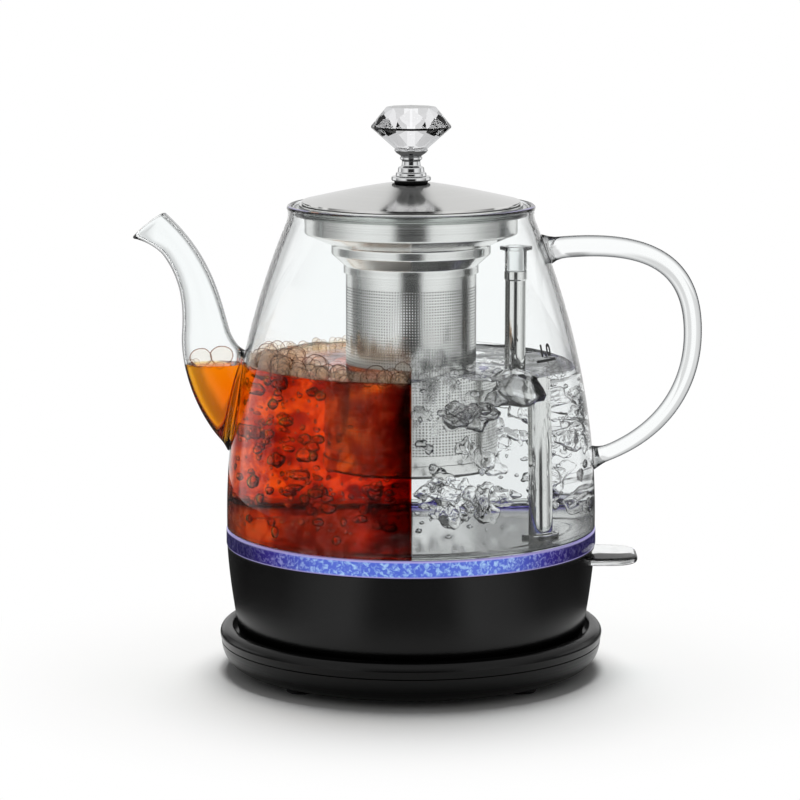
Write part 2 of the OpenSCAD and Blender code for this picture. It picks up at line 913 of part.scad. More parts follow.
// The rocker turns on the pin and grips the lever's tongue
module switch_rocker() {
    hub_r = 4;
    hub_w = 2 * (ear_in - slip_gap);
    arm_gap = 1.5;
    arm_wall = 1.5;
    tail_gap = 1.5;
    arm_x = blade_x - arm_gap - pivot_x;
    arm_w = tongue_w + 2 * arm_wall;
    tail = [pivot_x - tube_x - tube_r - tail_gap, 6, 2.4];
    color([0.16, 0.16, 0.16])
        difference() {
            translate([pivot_x, 0, pivot_z]) {
                rotate([90, 0, 0])
                    cylinder(r = hub_r, h = hub_w, center = true);
                translate([0, -arm_w / 2, -rocker_half_t])
                    cube([arm_x, arm_w, 2 * rocker_half_t]);
                translate([-tail.x, -hub_w / 2, -tail.z / 2])
                    cube(tail);
            }
            translate([pivot_x, 0, pivot_z])
                rotate([90, 0, 0])
                    cylinder(r = pin_r + pin_gap, h = hub_w + 2 * cut_over, center = true);
            translate([tongue_x - slip_gap, -tongue_w / 2 - bond_gap, pivot_z - lever_t / 2 - bond_gap])
                cube([jug_r, tongue_w + 2 * bond_gap, lever_t + 2 * bond_gap]);
        }
}

// Clear paddle with a round tip and a tongue
module switch_lever() {
    tip_flat = 1;
    round_r = (lever_w - tip_flat) / 2;
    color("white", 0.4)
        translate([0, 0, pivot_z - lever_t / 2])
            linear_extrude(lever_t)
                polygon(concat(
                    [[tongue_x, -tongue_w / 2], [blade_x, -tongue_w / 2], [blade_x, -lever_w / 2]],
                    arc([lever_tip_x - round_r, round_r - lever_w / 2], round_r, -90, 0),
                    arc([lever_tip_x - round_r, lever_w / 2 - round_r], round_r, 0, 90),
                    [[blade_x, lever_w / 2], [blade_x, tongue_w / 2], [tongue_x, tongue_w / 2]]
                ));
}

// Power base shells
rim_round = 3.4;
tray_round = 1.2;
seam_in = 0.5;
spigot_t = 1.6;
spigot_h = 2;
side_r = base_r - seam_in;
spigot_gap = 0.5;
spigot_r = side_r - base_wall - spigot_gap;
base_post_r = 4.2;
base_post_place_r = 48;
base_post_first = 30;
base_post_drop = 3.5;
z_post = z_seam - base_post_drop;
gland_wall = [1.8, 1.2];
gland_w = cord_bore_d + 2 * gland_wall.x;
gland_h = cord_bore_d + 2 * gland_wall.y;
gland_flange = 1.6;
gland_flange_t = 2;
gland_in = 6.5;
z_gland = z_base + base_wall + slip_gap;
gland_y = base_r - gland_in;
gland_depth = 12;

// Slot for the cord gland through the rear wall of both shells
module gland_slot() {
    translate([-gland_w / 2 - slip_gap, gland_y - gland_depth / 2 - cut_over, z_gland - slip_gap])
        cube([gland_w + 2 * slip_gap, gland_depth + 2 * cut_over + base_wall, gland_h + 2 * slip_gap]);
}

module power_base_top() {
    z_low = z_seam + seam_gap;
    z_under = z_tray - base_wall;
    color([0.06, 0.06, 0.065])
        difference() {
            union() {
                rotate_extrude()
                    polygon(concat(
                        [[spigot_r, z_low], [side_r, z_low]],
                        arc([base_r - rim_round, z_rim - rim_round], rim_round, 0, 90),
                        arc([tray_r + tray_round, z_rim - tray_round], tray_round, 90, 180, 4),
                        [
                            [tray_r, z_tray], [socket_r + slip_gap, z_tray], [socket_r + slip_gap, z_under],
                            [spigot_r - spigot_t, z_under], [spigot_r - spigot_t, z_seam - spigot_h],
                            [spigot_r, z_seam - spigot_h]
                        ]
                    ));
                on_circle(3, base_post_place_r, base_post_first)
                    post([0, 0], base_post_r, z_post, z_under + base_wall / 2);
            }
            on_circle(3, base_post_place_r, base_post_first)
                post([0, 0], screw_r + thread_gap, z_post - cut_over, z_under);
            gland_slot();
        }
}

foot_sink = 0.8;
foot_inset = 1;
foot_place_r = base_floor_r - foot_inset - foot_d / 2;
foot_first = 45;
base_screw_lift = 1;
z_base_screw = z_base + base_screw_lift + screw_head_h;

module power_base_bottom() {
    seat_r = socket_r + 2;
    seat_t = 2;
    side_pull = [0.7, 0.16];
    side_steps = 10;
    side = run3([
        [base_floor_r, z_base],
        [side_r - side_pull.x, z_base + base_side_h * side_pull.y],
        [side_r, z_seam]
    ], side_steps);
    color([0.06, 0.06, 0.065])
        difference() {
            union() {
                turned_sheet(concat([[0, z_base]], side), base_wall);
                on_circle(3, base_post_place_r, base_post_first)
                    post([0, 0], base_post_r, z_base, z_post);
                difference() {
                    turned_ring(seat_r, seat_r + seat_t, z_base, z_flange);
                    translate([-gland_w / 2, 0, z_base + base_wall])
                        cube([gland_w, flange_r + seat_t, z_flange]);
                }
            }
            on_circle(3, base_post_place_r, base_post_first) {
                post([0, 0], screw_r + slip_gap, 0, z_post + cut_over);
                post([0, 0], screw_head_r + slip_gap, 0, z_base_screw);
            }
            on_circle(4, foot_place_r, foot_first)
                post([0, 0], foot_d / 2, 0, z_base + foot_sink);
            gland_slot();
        }
}

module base_screws() {
    color("silver")
        on_circle(3, base_post_place_r, base_post_first)
            screw(z_base_screw, z_tray - base_wall - z_base_screw - screw_end);
}

module base_feet() {
    edge = 0.7;
    foot_r = foot_d / 2;
    color([0.03, 0.03, 0.03])
        on_circle(4, foot_place_r, foot_first)
            rotate_extrude()
                polygon(concat(
                    [[0, 0]],
                    arc([foot_r - edge, edge], edge, -90, 0, 4),
                    [[foot_r, z_base + foot_sink], [0, z_base + foot_sink]]
                ));
}

// Bush in the rear wall that the mains cord comes out of
module cord_gland() {
    bore_z = z_gland + gland_h / 2;
    gland_front = gland_y - gland_depth / 2;
    color([0.03, 0.03, 0.03])
        difference() {
            union() {
                translate([-gland_w / 2, gland_front, z_gland])
                    cube([gland_w, gland_depth, gland_h]);
                translate([-gland_w / 2 - gland_flange, gland_front - gland_flange_t, z_gland])
                    cube([gland_w + 2 * gland_flange, gland_flange_t, gland_h - gland_flange]);
            }
            translate([0, gland_y, bore_z])
                rotate([90, 0, 0])
                    cylinder(r = cord_bore_d / 2, h = 2 * gland_depth, center = true);
        }
}

// Infuser: stepped collar, basket and floor
collar_r = mouth_r - seat_gap - seal_w;
flange_lift = 0.2;
z_flange_top = z_lip + flange_lift;
flange_out = 2.1;
cone1_h = 4.4;
step_h = 3.5;
cone2_h = 4.3;
sleeve_h = 3;
step_r = step_d / 2;
basket_r = basket_d / 2;
z_collar = z_lip - collar_h;
z_step = z_collar - cone1_h;
z_cone2 = z_step - step_h;
z_sleeve = z_cone2 - cone2_h;
z_basket = z_sleeve - basket_h;
floor_h = 4.5;

module infuser_collar() {
    z_flange_low = z_flange_top - collar_sheet;
    outside = [
        [basket_r, z_sleeve - sleeve_h], [basket_r, z_sleeve], [step_r, z_cone2], [step_r, z_step],
        [collar_r, z_collar], [collar_r, z_flange_low], [collar_r + flange_out, z_flange_low]
    ];
    color("silver")
        turned_sheet(outside, collar_sheet);
}

basket_out = basket_r - collar_sheet - bond_gap;

module infuser_basket() {
    color("lightgray")
        turned_ring(basket_out - basket_sheet, basket_out, z_basket + basket_sheet, z_sleeve - bond_gap);
}

module infuser_floor() {
    floor_r = basket_out + bond_gap + basket_sheet;
    z_low = z_basket - bond_gap;
    color("silver")
        turned_sheet([[0, z_low], [floor_r, z_low], [floor_r, z_basket + floor_h]], basket_sheet);
}

// Soft ring on the collar that follows the flare of the glass mouth
module mouth_seal() {
    seal_h = 2.8;
    seal_taper = 0.6;
    seal_clear = 1.2 * seat_gap;
    z_top = z_flange_top - collar_sheet - bond_gap;
    seal_line = [for (i = [0:neck_steps]) let (p = curve3(neck_curve, i / neck_steps))
        if (p.y > z_top - seal_h && p.y < z_top) p - [glass_wall + seal_clear, 0]];
    inner_r = collar_r + bond_gap;
    color("gainsboro", 0.6)
        rotate_extrude()
            polygon(concat(
                [[inner_r, z_top - seal_h], [seal_line[0].x - seal_taper, z_top - seal_h]],
                seal_line,
                [[seal_line[len(seal_line) - 1].x, z_top], [inner_r, z_top]]
            ));
}

// Lid and knob
lid_over = 1.1;
lid_r = collar_r + lid_over;
lid_edge = 0.9;
z_lid = z_flange_top + seat_gap;
z_dome = z_lid + dome_h;
flat_r = 7;
skirt_h = 6.5;
skirt_r = collar_r - collar_sheet - slip_gap;
hole_r = 2.6;
gasket_t = 0.8;
gasket_r = 6.5;
z_stem = z_dome + gasket_t;
z_crystal = z_stem + stem_h;
cup_r = 6.6;
stem_solid_h = 4;
bore_h = stem_h - stem_solid_h;

module lid_cover() {
    dome_pull = [24, 0.825];
    dome_steps = 12;
    dome = [
        [lid_r, z_lid + lid_edge],
        [lid_r - dome_pull.x, z_lid + dome_h * dome_pull.y],
        [flat_r, z_dome]
    ];
    color("silver") {
        turned_sheet(concat([[lid_r, z_lid]], run3(dome, dome_steps), [[hole_r, z_dome]]), lid_sheet);
        turned_ring(skirt_r - lid_sheet, skirt_r, z_lid - skirt_h, z_lid + lid_edge);
    }
}

module knob_gasket() {
    color("black")
        turned_ring(hole_r, gasket_r, z_dome, z_stem);
}

// Stepped turning with a waist and a cup that holds the crystal
module knob_stem() {
    waist_r = 3.5;
    waist_run = 0.8;
    cup_h = 3.9;
    cup_pull = 0.8;
    cup_steps = 6;
    steps = [[7.7, 1.7], [5.8, 1.4], [5.1, 2.1]];
    z1 = z_stem + steps[0].y;
    z2 = z1 + steps[1].y;
    z3 = z2 + steps[2].y;
    cup_line = run3([
        [waist_r, z_crystal - cup_h],
        [cup_r, z_crystal - cup_h * cup_pull],
        [cup_r, z_crystal]
    ], cup_steps);
    color("silver")
        difference() {
            rotate_extrude()
                polygon(concat(
                    [[0, z_stem], [steps[0].x, z_stem], [steps[0].x, z1]],
                    [[steps[1].x, z1], [steps[1].x, z2]],
                    [[steps[2].x, z2], [steps[2].x, z3], [waist_r, z3 + waist_run]],
                    cup_line,
                    [[0, z_crystal]]
                ));
            post([0, 0], screw_r + thread_gap, z_stem - cut_over, z_stem + bore_h);
        }
}

// Brilliant cut: table, crown, girdle and pavilion
module knob_crystal() {
    girdle_r = crystal_d / 2;
    girdle_t = 0.8;
    facet_t = 0.1;
    foot_in = 0.4;
    pavilion_h = crystal_h * 0.5;
    crown_h = crystal_h - pavilion_h;
    crown_mid = [0.85, 0.56];
    table_part = 0.62;
    color("white", 0.5)
        translate([0, 0, z_crystal])
            hull() {
                cylinder(r = cup_r - foot_in, h = facet_t, $fn = 8);
                translate([0, 0, pavilion_h])
                    cylinder(r = girdle_r, h = girdle_t, $fn = 16);
                translate([0, 0, pavilion_h + crown_h * crown_mid.y])
                    rotate(22.5)
                        cylinder(r = girdle_r * crown_mid.x, h = facet_t, $fn = 8);
                translate([0, 0, crystal_h - facet_t])
                    cylinder(r = girdle_r * table_part, h = facet_t, $fn = 8);
            }
}

module knob_screw() {
    z_seat = z_dome - lid_sheet;
    color("silver")
        screw(z_seat, z_stem + bore_h - screw_end - z_seat);
}

lid_cover();
knob_stem();
knob_crystal();
knob_gasket();
knob_screw();
infuser_collar();
infuser_basket();
infuser_floor();
mouth_seal();
glass_jug();
glass_spout();
glass_handle();
steam_tube();
steam_tube_cap();
steam_tube_seal();
steam_tube_nut();
heater_plate();
heat_spreader();
heating_element();
plate_seal();
light_ring();
light_board();
board_lights();
base_shell();
bottom_cover();
cover_screws();
control_unit();
control_studs();
boil_dry_cutouts();
connector_contacts();
switch_frame();
lever_pin();
steam_bimetal();
toggle_spring();
switch_lever();
switch_rocker();
connector_cap();
power_base_top();
power_base_bottom();
connector_socket();
cap_spring();
contact_blades();
cord_gland();
base_feet();
base_screws();
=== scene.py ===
"""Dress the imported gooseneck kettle: blown glass, spun steel, moulded plastic, a hot brew and a white studio.

All sizes are millimetres in the kettle's own frame: +Z up, spout to -X, front to -Y.
"""

import json
import logging
import math
import random
from collections.abc import Callable, Sequence
from dataclasses import dataclass, replace
from enum import Enum
from functools import cached_property

import bmesh
import bpy
import numpy as np
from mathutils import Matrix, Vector, noise


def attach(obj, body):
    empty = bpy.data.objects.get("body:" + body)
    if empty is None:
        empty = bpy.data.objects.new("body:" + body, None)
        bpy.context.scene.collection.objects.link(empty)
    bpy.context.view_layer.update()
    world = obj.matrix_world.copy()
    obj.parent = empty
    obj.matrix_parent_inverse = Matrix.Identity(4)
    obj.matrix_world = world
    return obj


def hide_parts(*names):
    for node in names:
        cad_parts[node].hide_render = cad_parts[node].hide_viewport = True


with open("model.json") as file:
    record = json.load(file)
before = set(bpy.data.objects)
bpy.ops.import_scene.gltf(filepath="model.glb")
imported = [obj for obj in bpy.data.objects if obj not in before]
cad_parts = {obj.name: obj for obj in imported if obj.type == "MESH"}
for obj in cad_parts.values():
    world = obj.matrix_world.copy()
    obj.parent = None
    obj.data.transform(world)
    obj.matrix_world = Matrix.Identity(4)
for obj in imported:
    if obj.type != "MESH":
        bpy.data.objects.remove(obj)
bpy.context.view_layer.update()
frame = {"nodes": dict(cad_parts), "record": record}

LOG = logging.getLogger("kettle")
MM = 0.001
Profile = list[tuple[float, float]]
Mesh = tuple[list, list]
Link = bpy.types.Node | bpy.types.NodeSocket | tuple | float
# Settings that many nodes share
SOFT = {"interpolation_type": "SMOOTHSTEP"}
COLOUR = {"data_type": "RGBA"}
# Range in which nearly all of a noise lies
NOISE_SPAN = {"From Min": 0.3, "From Max": 0.7}


class Body(Enum):
    """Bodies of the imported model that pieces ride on."""

    KETTLE = "kettle"
    SWITCH = "switch"
    INFUSER = "infuser"
    LID = "lid"


class Grain(Enum):
    """How a metal surface was worked, which sets how its lines run."""

    SPUN = "spun"
    DRAWN = "drawn"
    CAST = "cast"


def linear(code: str) -> tuple[float, float, float, float]:
    """Turn an sRGB hex colour into linear RGBA.

    Args:
        code: Colour such as "#C8C8C4".

    Returns:
        Linear red, green, blue and an alpha of 1.
    """
    parts = [int(code[i : i + 2], 16) / 255 for i in (1, 3, 5)]
    return (*[p / 12.92 if p <= 0.04045 else ((p + 0.055) / 1.055) ** 2.4 for p in parts], 1.0)


def grey(level: float) -> tuple[float, float, float, float]:
    """Give a linear grey."""
    return level, level, level, 1.0


def add_node(
    tree: bpy.types.NodeTree, kind: str, inputs: dict | None = None, **settings: object
) -> bpy.types.Node:
    """Add a node, set its properties, and fill or link its inputs.

    Args:
        tree: Node tree that gets the node.
        kind: Blender's name of the node type, without ShaderNode before it.
        inputs: For each input, by name or number, a value, an output socket, or a node, of which the first
            output in use is linked.
        settings: Properties of the node itself.

    Returns:
        The new node.
    """
    node = tree.nodes.new("ShaderNode" + kind)
    for key, value in settings.items():
        setattr(node, key, value)
    for key, value in (inputs or {}).items():
        if isinstance(value, bpy.types.Node):
            value = next(out for out in value.outputs if out.enabled)
        if isinstance(value, bpy.types.NodeSocket):
            tree.links.new(value, node.inputs[key])
        else:
            node.inputs[key].default_value = value
    return node


def set_stops(ramp: bpy.types.Node, stops: Sequence[tuple[float, float]]) -> None:
    """Give a colour ramp grey stops.

    Args:
        ramp: Colour ramp node.
        stops: Place and grey level of each stop, in order.
    """
    elements = ramp.color_ramp.elements
    while len(elements) < len(stops):
        elements.new(0.5)
    for element, (place, level) in zip(elements, stops):
        element.position = place
        element.color = grey(level)


def bezier(points: Sequence[Sequence[float]], t: float) -> np.ndarray:
    """Give the point at t of 0 to 1 on a Bezier curve."""
    level = np.asarray(points, float)
    while len(level) > 1:
        level = level[:-1] + (level[1:] - level[:-1]) * t
    return level[0]


def run(points: Sequence[Sequence[float]], steps: int) -> Profile:
    """Give the points along a Bezier curve, both ends included."""
    return [tuple(bezier(points, i / steps)) for i in range(steps + 1)]


def beside(line: Sequence[Sequence[float]], width: float) -> np.ndarray:
    """Give the line that lies a width to the left of another one."""
    points = np.asarray(line, float)
    ahead = np.gradient(points, axis=0)
    side = np.stack([-ahead[:, 1], ahead[:, 0]], axis=1)
    return points + side / np.linalg.norm(side, axis=1)[:, None] * width


def behind(line: Sequence[Sequence[float]], width: float) -> Profile:
    """Give the line beside another one, run backwards, as the far face of a sheet."""
    return [tuple(p) for p in beside(line, width)[::-1]]


def rounded(corners: Sequence[tuple[float, float, float]], closed: bool = True, steps: int = 5) -> Profile:
    """Round the corners of a profile.

    Args:
        corners: Radius, height and corner rounding of each corner.
        closed: Whether the last corner joins the first.
        steps: Points along each rounding.

    Returns:
        The rounded profile.
    """
    line: Profile = []
    count = len(corners)
    for i, (r, z, bend) in enumerate(corners):
        here = np.array([r, z])
        if bend <= 0 or (not closed and i in (0, count - 1)):
            line.append((r, z))
            continue
        back = np.array(corners[i - 1][:2]) - here
        ahead = np.array(corners[(i + 1) % count][:2]) - here
        back_len = np.linalg.norm(back)
        ahead_len = np.linalg.norm(ahead)
        cosine = np.clip(back @ ahead / back_len / ahead_len, -0.9999, 0.9999)
        reach = min(bend / math.tan(math.acos(cosine) / 2), 0.48 * back_len, 0.48 * ahead_len)
        line += run([here + back / back_len * reach, here, here + ahead / ahead_len * reach], steps)
    return line


def lathe(profile: Profile, segments: int = 160, place: tuple[float, float] = (0, 0)) -> Mesh:
    """Turn a profile round an upright axis; one that starts on the axis is closed there, any other is a ring.

    Args:
        profile: Radius and height of each point.
        segments: Steps round the axis.
        place: Where the axis stands.

    Returns:
        Points and faces.
    """
    points: list = []
    rows: list = []
    turn = [2 * math.pi * i / segments for i in range(segments)]
    for r, z in profile:
        first = len(points)
        if r < 1e-6:
            points.append((place[0], place[1], z))
            rows.append([first] * segments)
            continue
        points += [(place[0] + r * math.cos(a), place[1] + r * math.sin(a), z) for a in turn]
        rows.append(list(range(first, first + segments)))
    faces = []
    ring = profile[0][0] >= 1e-6
    for k in range(len(rows) if ring else len(rows) - 1):
        low = rows[k]
        high = rows[(k + 1) % len(rows)]
        for i in range(segments):
            j = (i + 1) % segments
            corners = list(dict.fromkeys((low[i], low[j], high[j], high[i])))
            if len(corners) > 2:
                faces.append(tuple(corners))
    return points, faces


def loft(rings: Sequence[Sequence[Sequence[float]]], wrap: bool) -> Mesh:
    """Skin a list of rings that have equal numbers of points.

    Args:
        rings: Points of each ring.
        wrap: Join the last ring to the first; otherwise both ends are capped.

    Returns:
        Points and faces.
    """
    sides = len(rings[0])
    points = [tuple(p) for ring in rings for p in ring]
    faces = []
    for k in range(len(rings) if wrap else len(rings) - 1):
        low = k * sides
        high = (k + 1) % len(rings) * sides
        for i in range(sides):
            j = (i + 1) % sides
            faces.append((low + i, low + j, high + j, high + i))
    if not wrap:
        faces.append(tuple(range(sides - 1, -1, -1)))
        faces.append(tuple(range(len(points) - sides, len(points))))
    return points, faces


def merged(*parts: Mesh) -> Mesh:
    """Join several meshes into one list of points and faces."""
    points: list = []
    faces: list = []
    for part_points, part_faces in parts:
        first = len(points)
        points += [tuple(p) for p in part_points]
        faces += [tuple(first + i for i in f) for f in part_faces]
    return points, faces


def placed(name: str, data: bpy.types.ID) -> bpy.types.Object:
    """Put data into the scene as an object."""
    made = bpy.data.objects.new(name, data)
    bpy.context.scene.collection.objects.link(made)
    return made


def raw_object(name: str, mesh: Mesh, crease: float = 35.0) -> bpy.types.Object:
    """Make a smooth shaded object with outward faces.

    Args:
        name: Name of the object.
        mesh: Points in millimetres, and faces.
        crease: Edges that turn more than these degrees stay sharp.

    Returns:
        The object, in the scene.
    """
    data = bpy.data.meshes.new(name)
    data.from_pydata([(x * MM, y * MM, z * MM) for x, y, z in mesh[0]], [], mesh[1])
    shape = bmesh.new()
    shape.from_mesh(data)
    bmesh.ops.recalc_face_normals(shape, faces=shape.faces)
    shape.to_mesh(data)
    shape.free()
    data.shade_smooth()
    data.set_sharp_from_angle(angle=math.radians(crease))
    return placed(name, data)


def carve(target: bpy.types.Object, tool: bpy.types.Object, operation: str, crease: float = 35.0) -> None:
    """Cut an object with another one, which is used up.

    Args:
        target: Object that is cut.
        tool: Object that cuts.
        operation: DIFFERENCE or INTERSECT.
        crease: Edges that turn more than these degrees stay sharp.
    """
    cut = target.modifiers.new("cut", "BOOLEAN")
    cut.object = tool
    cut.operation = operation
    cut.solver = "EXACT"
    bpy.context.view_layer.update()
    graph = bpy.context.evaluated_depsgraph_get()
    data = bpy.data.meshes.new_from_object(target.evaluated_get(graph))
    target.modifiers.clear()
    old = target.data
    target.data = data
    bpy.data.meshes.remove(old)
    bpy.data.objects.remove(tool)
    data.shade_smooth()
    data.set_sharp_from_angle(angle=math.radians(crease))


def cleared(owner: bpy.types.Material | bpy.types.World) -> bpy.types.NodeTree:
    """Give the node tree of a new material or world, emptied."""
    owner.use_nodes = True
    owner.node_tree.nodes.clear()
    return owner.node_tree


@dataclass(frozen=True)
class Finish:
    """A surface of the real kettle, named for its stuff and how it was made."""

    name: str

    def material(self) -> bpy.types.Material:
        """Give the finish as a material, made once."""
        found = bpy.data.materials.get(self.name)
        if found:
            return found
        made = bpy.data.materials.new(self.name)
        self.shade(cleared(made))
        return made

    def shade(self, tree: bpy.types.NodeTree) -> None:
        """Build the material's nodes."""
        raise NotImplementedError


@dataclass(frozen=True)
class ClearBody(Finish):
    """Clear stuff that bends light; lamps pass straight through, so that what it covers is lit.

    mirror is the share of the skin that mirrors as well as bends where it faces the eye, as under polarised
    light. It grows to edge_mirror towards the edges, and to inner_mirror inside, past the angle that throws
    all light back. Rays that metal mirrors see its outer skin, by a set share, as a lit pale froth in place of
    the clear stuff: a painted reflection. swirl is the tint of its denser drifts.
    """

    ior: float
    tint: str = "#FFFFFF"
    roughness: float = 0.0
    mirror: float = 1.0
    edge_mirror: float = 0.8
    edge_range: tuple[float, float] = (0.45, 0.9)
    inner_mirror: float = 0.0
    inner_range: tuple[float, float] = (0.22, 0.32)
    # Painted shade: a grey laid over the tint where the skin turns from the eye, and where that turn starts and
    # is full
    painted_edge_shade: str = ""
    painted_shade_range: tuple[float, float] = (0.5, 0.9)
    # Share and colour of the pale froth that metal mirrors on the outer skin: a painted reflection
    painted_froth_reflection: float = 0.0
    froth: str = "#EDEBE7"
    swirl: str = ""
    swirl_mm: float = 11.0
    swirl_range: tuple[float, float] = (0.42, 0.64)
    ripple_mm: float = 20.0
    ripple_depth_mm: float = 0.02
    absorbs: tuple[float, float, float] = (0.0, 0.0, 0.0)

    def stained(self, tree: bpy.types.NodeTree, place: Link, facing: Link) -> Link:
        """Colour the light that passes.

        Args:
            tree: Node tree that gets the nodes.
            place: Where on the piece.
            facing: How far the skin turns from the eye.

        Returns:
            The tint, with painted shade at the edges and the denser drifts laid over it.
        """
        tint: Link = linear(self.tint)
        # Painted shade at the edges, laid over the tint by how far the skin turns from the eye
        if self.painted_edge_shade:
            start, full = self.painted_shade_range
            edge = add_node(tree, "MapRange", {"Value": facing, "From Min": start, "From Max": full})
            tint = add_node(tree, "Mix", {"Factor": edge, 6: tint, 7: linear(self.painted_edge_shade)}, **COLOUR)
        if self.swirl:
            start, full = self.swirl_range
            clouds = {"Scale": 1 / (self.swirl_mm * MM), "Detail": 3.0, "Distortion": 1.2}
            drift = add_node(tree, "TexNoise", {"Vector": place, **clouds})
            dense = add_node(tree, "MapRange", {"Value": drift, "From Min": start, "From Max": full}, **SOFT)
            tint = add_node(tree, "Mix", {"Factor": dense, 6: tint, 7: linear(self.swirl)}, **COLOUR)
        return tint

    def shade(self, tree: bpy.types.NodeTree) -> None:
        """Build a refracting surface with slow ripples, and a volume that takes light up."""
        place = add_node(tree, "TexCoord").outputs["Object"]
        facing = add_node(tree, "LayerWeight", {"Blend": 0.5}).outputs["Facing"]
        inside = add_node(tree, "NewGeometry").outputs["Backfacing"]
        path = add_node(tree, "LightPath").outputs
        scale, depth = 1 / (self.ripple_mm * MM), self.ripple_depth_mm * MM
        waves = add_node(tree, "TexNoise", {"Vector": place, "Scale": scale, "Detail": 1.0})
        relief = add_node(tree, "Bump", {"Height": waves, "Strength": 1.0, "Distance": depth})
        skin = {"Roughness": self.roughness, "IOR": self.ior, "Normal": relief}
        colour = self.stained(tree, place, facing)
        body = add_node(tree, "BsdfPrincipled", {"Base Color": colour, "Transmission Weight": 1.0, **skin})
        bent = add_node(tree, "BsdfRefraction", {"Color": colour, **skin})
        start, full = self.edge_range
        most = max(self.mirror, self.edge_mirror)
        span = {"From Min": start, "From Max": full, "To Min": self.mirror, "To Max": most}
        share = add_node(tree, "MapRange", {"Value": facing, **span})
        start, full = self.inner_range
        span = {"From Min": start, "From Max": full, "To Max": self.inner_mirror}
        steep = add_node(tree, "MapRange", {"Value": facing, **span})
        inner = add_node(tree, "Math", {0: inside, 1: steep}, operation="MULTIPLY")
        either = add_node(tree, "Math", {0: share, 1: inner}, operation="MAXIMUM")
        shown = add_node(tree, "MixShader", {0: either, 1: bent, 2: body})
        # Painted reflection: rays mirrored by metal see the outer skin as a lit, pale froth in place of the
        # clear stuff
        if self.painted_froth_reflection > 0:
            outside = add_node(tree, "MapRange", {"Value": inside, "To Min": self.painted_froth_reflection, "To Max": 0.0})
            sources = {0: path["Is Glossy Ray"], 1: path["Is Transmission Ray"]}
            from_metal = add_node(tree, "Math", sources, operation="SUBTRACT", use_clamp=True)
            mirrored = add_node(tree, "Math", {0: outside, 1: from_metal}, operation="MULTIPLY")
            pale = add_node(tree, "BsdfDiffuse", {"Color": linear(self.froth)})
            shown = add_node(tree, "MixShader", {0: mirrored, 1: shown, 2: pale})
        through = add_node(tree, "BsdfTransparent", {"Color": linear(self.tint)})
        ends = {"Surface": add_node(tree, "MixShader", {0: path["Is Shadow Ray"], 1: shown, 2: through})}
        density = max(self.absorbs)
        if density > 0:
            kept = (*[1 - a / density for a in self.absorbs], 1.0)
            ends["Volume"] = add_node(tree, "VolumeAbsorption", {"Color": kept, "Density": density})
        add_node(tree, "OutputMaterial", ends)


@dataclass(frozen=True)
class Film(Finish):
    """A bubble's thin wall: clear where it faces the eye, and a fine line of painted shade where it is seen
    edge on.
    """

    # Colour of the painted shade along the edge, and of the pale froth that scatters in the skin
    edge: str
    froth: str
    milky: float = 0.1
    gloss: float = 0.07
    thin: str = "#FFFFFF"
    edge_range: tuple[float, float] = (0.5, 0.9)
    least_gloss: float = 0.03
    gloss_from: float = 0.2
    roughness: float = 0.03

    def shade(self, tree: bpy.types.NodeTree) -> None:
        """Build a clear skin that takes up light, with painted shade towards its edge, and shines towards its
        edge.
        """
        facing = add_node(tree, "LayerWeight", {"Blend": 0.5}).outputs["Facing"]
        # Painted shade: the skin darkens to the edge colour where it turns from the eye
        start, full = self.edge_range
        line = add_node(tree, "MapRange", {"Value": facing, "From Min": start, "From Max": full}, **SOFT)
        painted_rim_shade = add_node(tree, "Mix", {"Factor": line, 6: linear(self.thin), 7: linear(self.edge)}, **COLOUR)
        clear = add_node(tree, "BsdfTransparent", {"Color": painted_rim_shade})
        pale = add_node(tree, "BsdfDiffuse", {"Color": linear(self.froth)})
        clear = add_node(tree, "MixShader", {0: self.milky, 1: clear, 2: pale})
        shine = add_node(tree, "BsdfAnisotropic", {"Roughness": self.roughness})
        span = {"From Min": self.gloss_from, "To Min": self.least_gloss, "To Max": self.gloss}
        share = add_node(tree, "MapRange", {"Value": facing, **span})
        surface = add_node(tree, "MixShader", {0: share, 1: clear, 2: shine})
        add_node(tree, "OutputMaterial", {"Surface": surface})


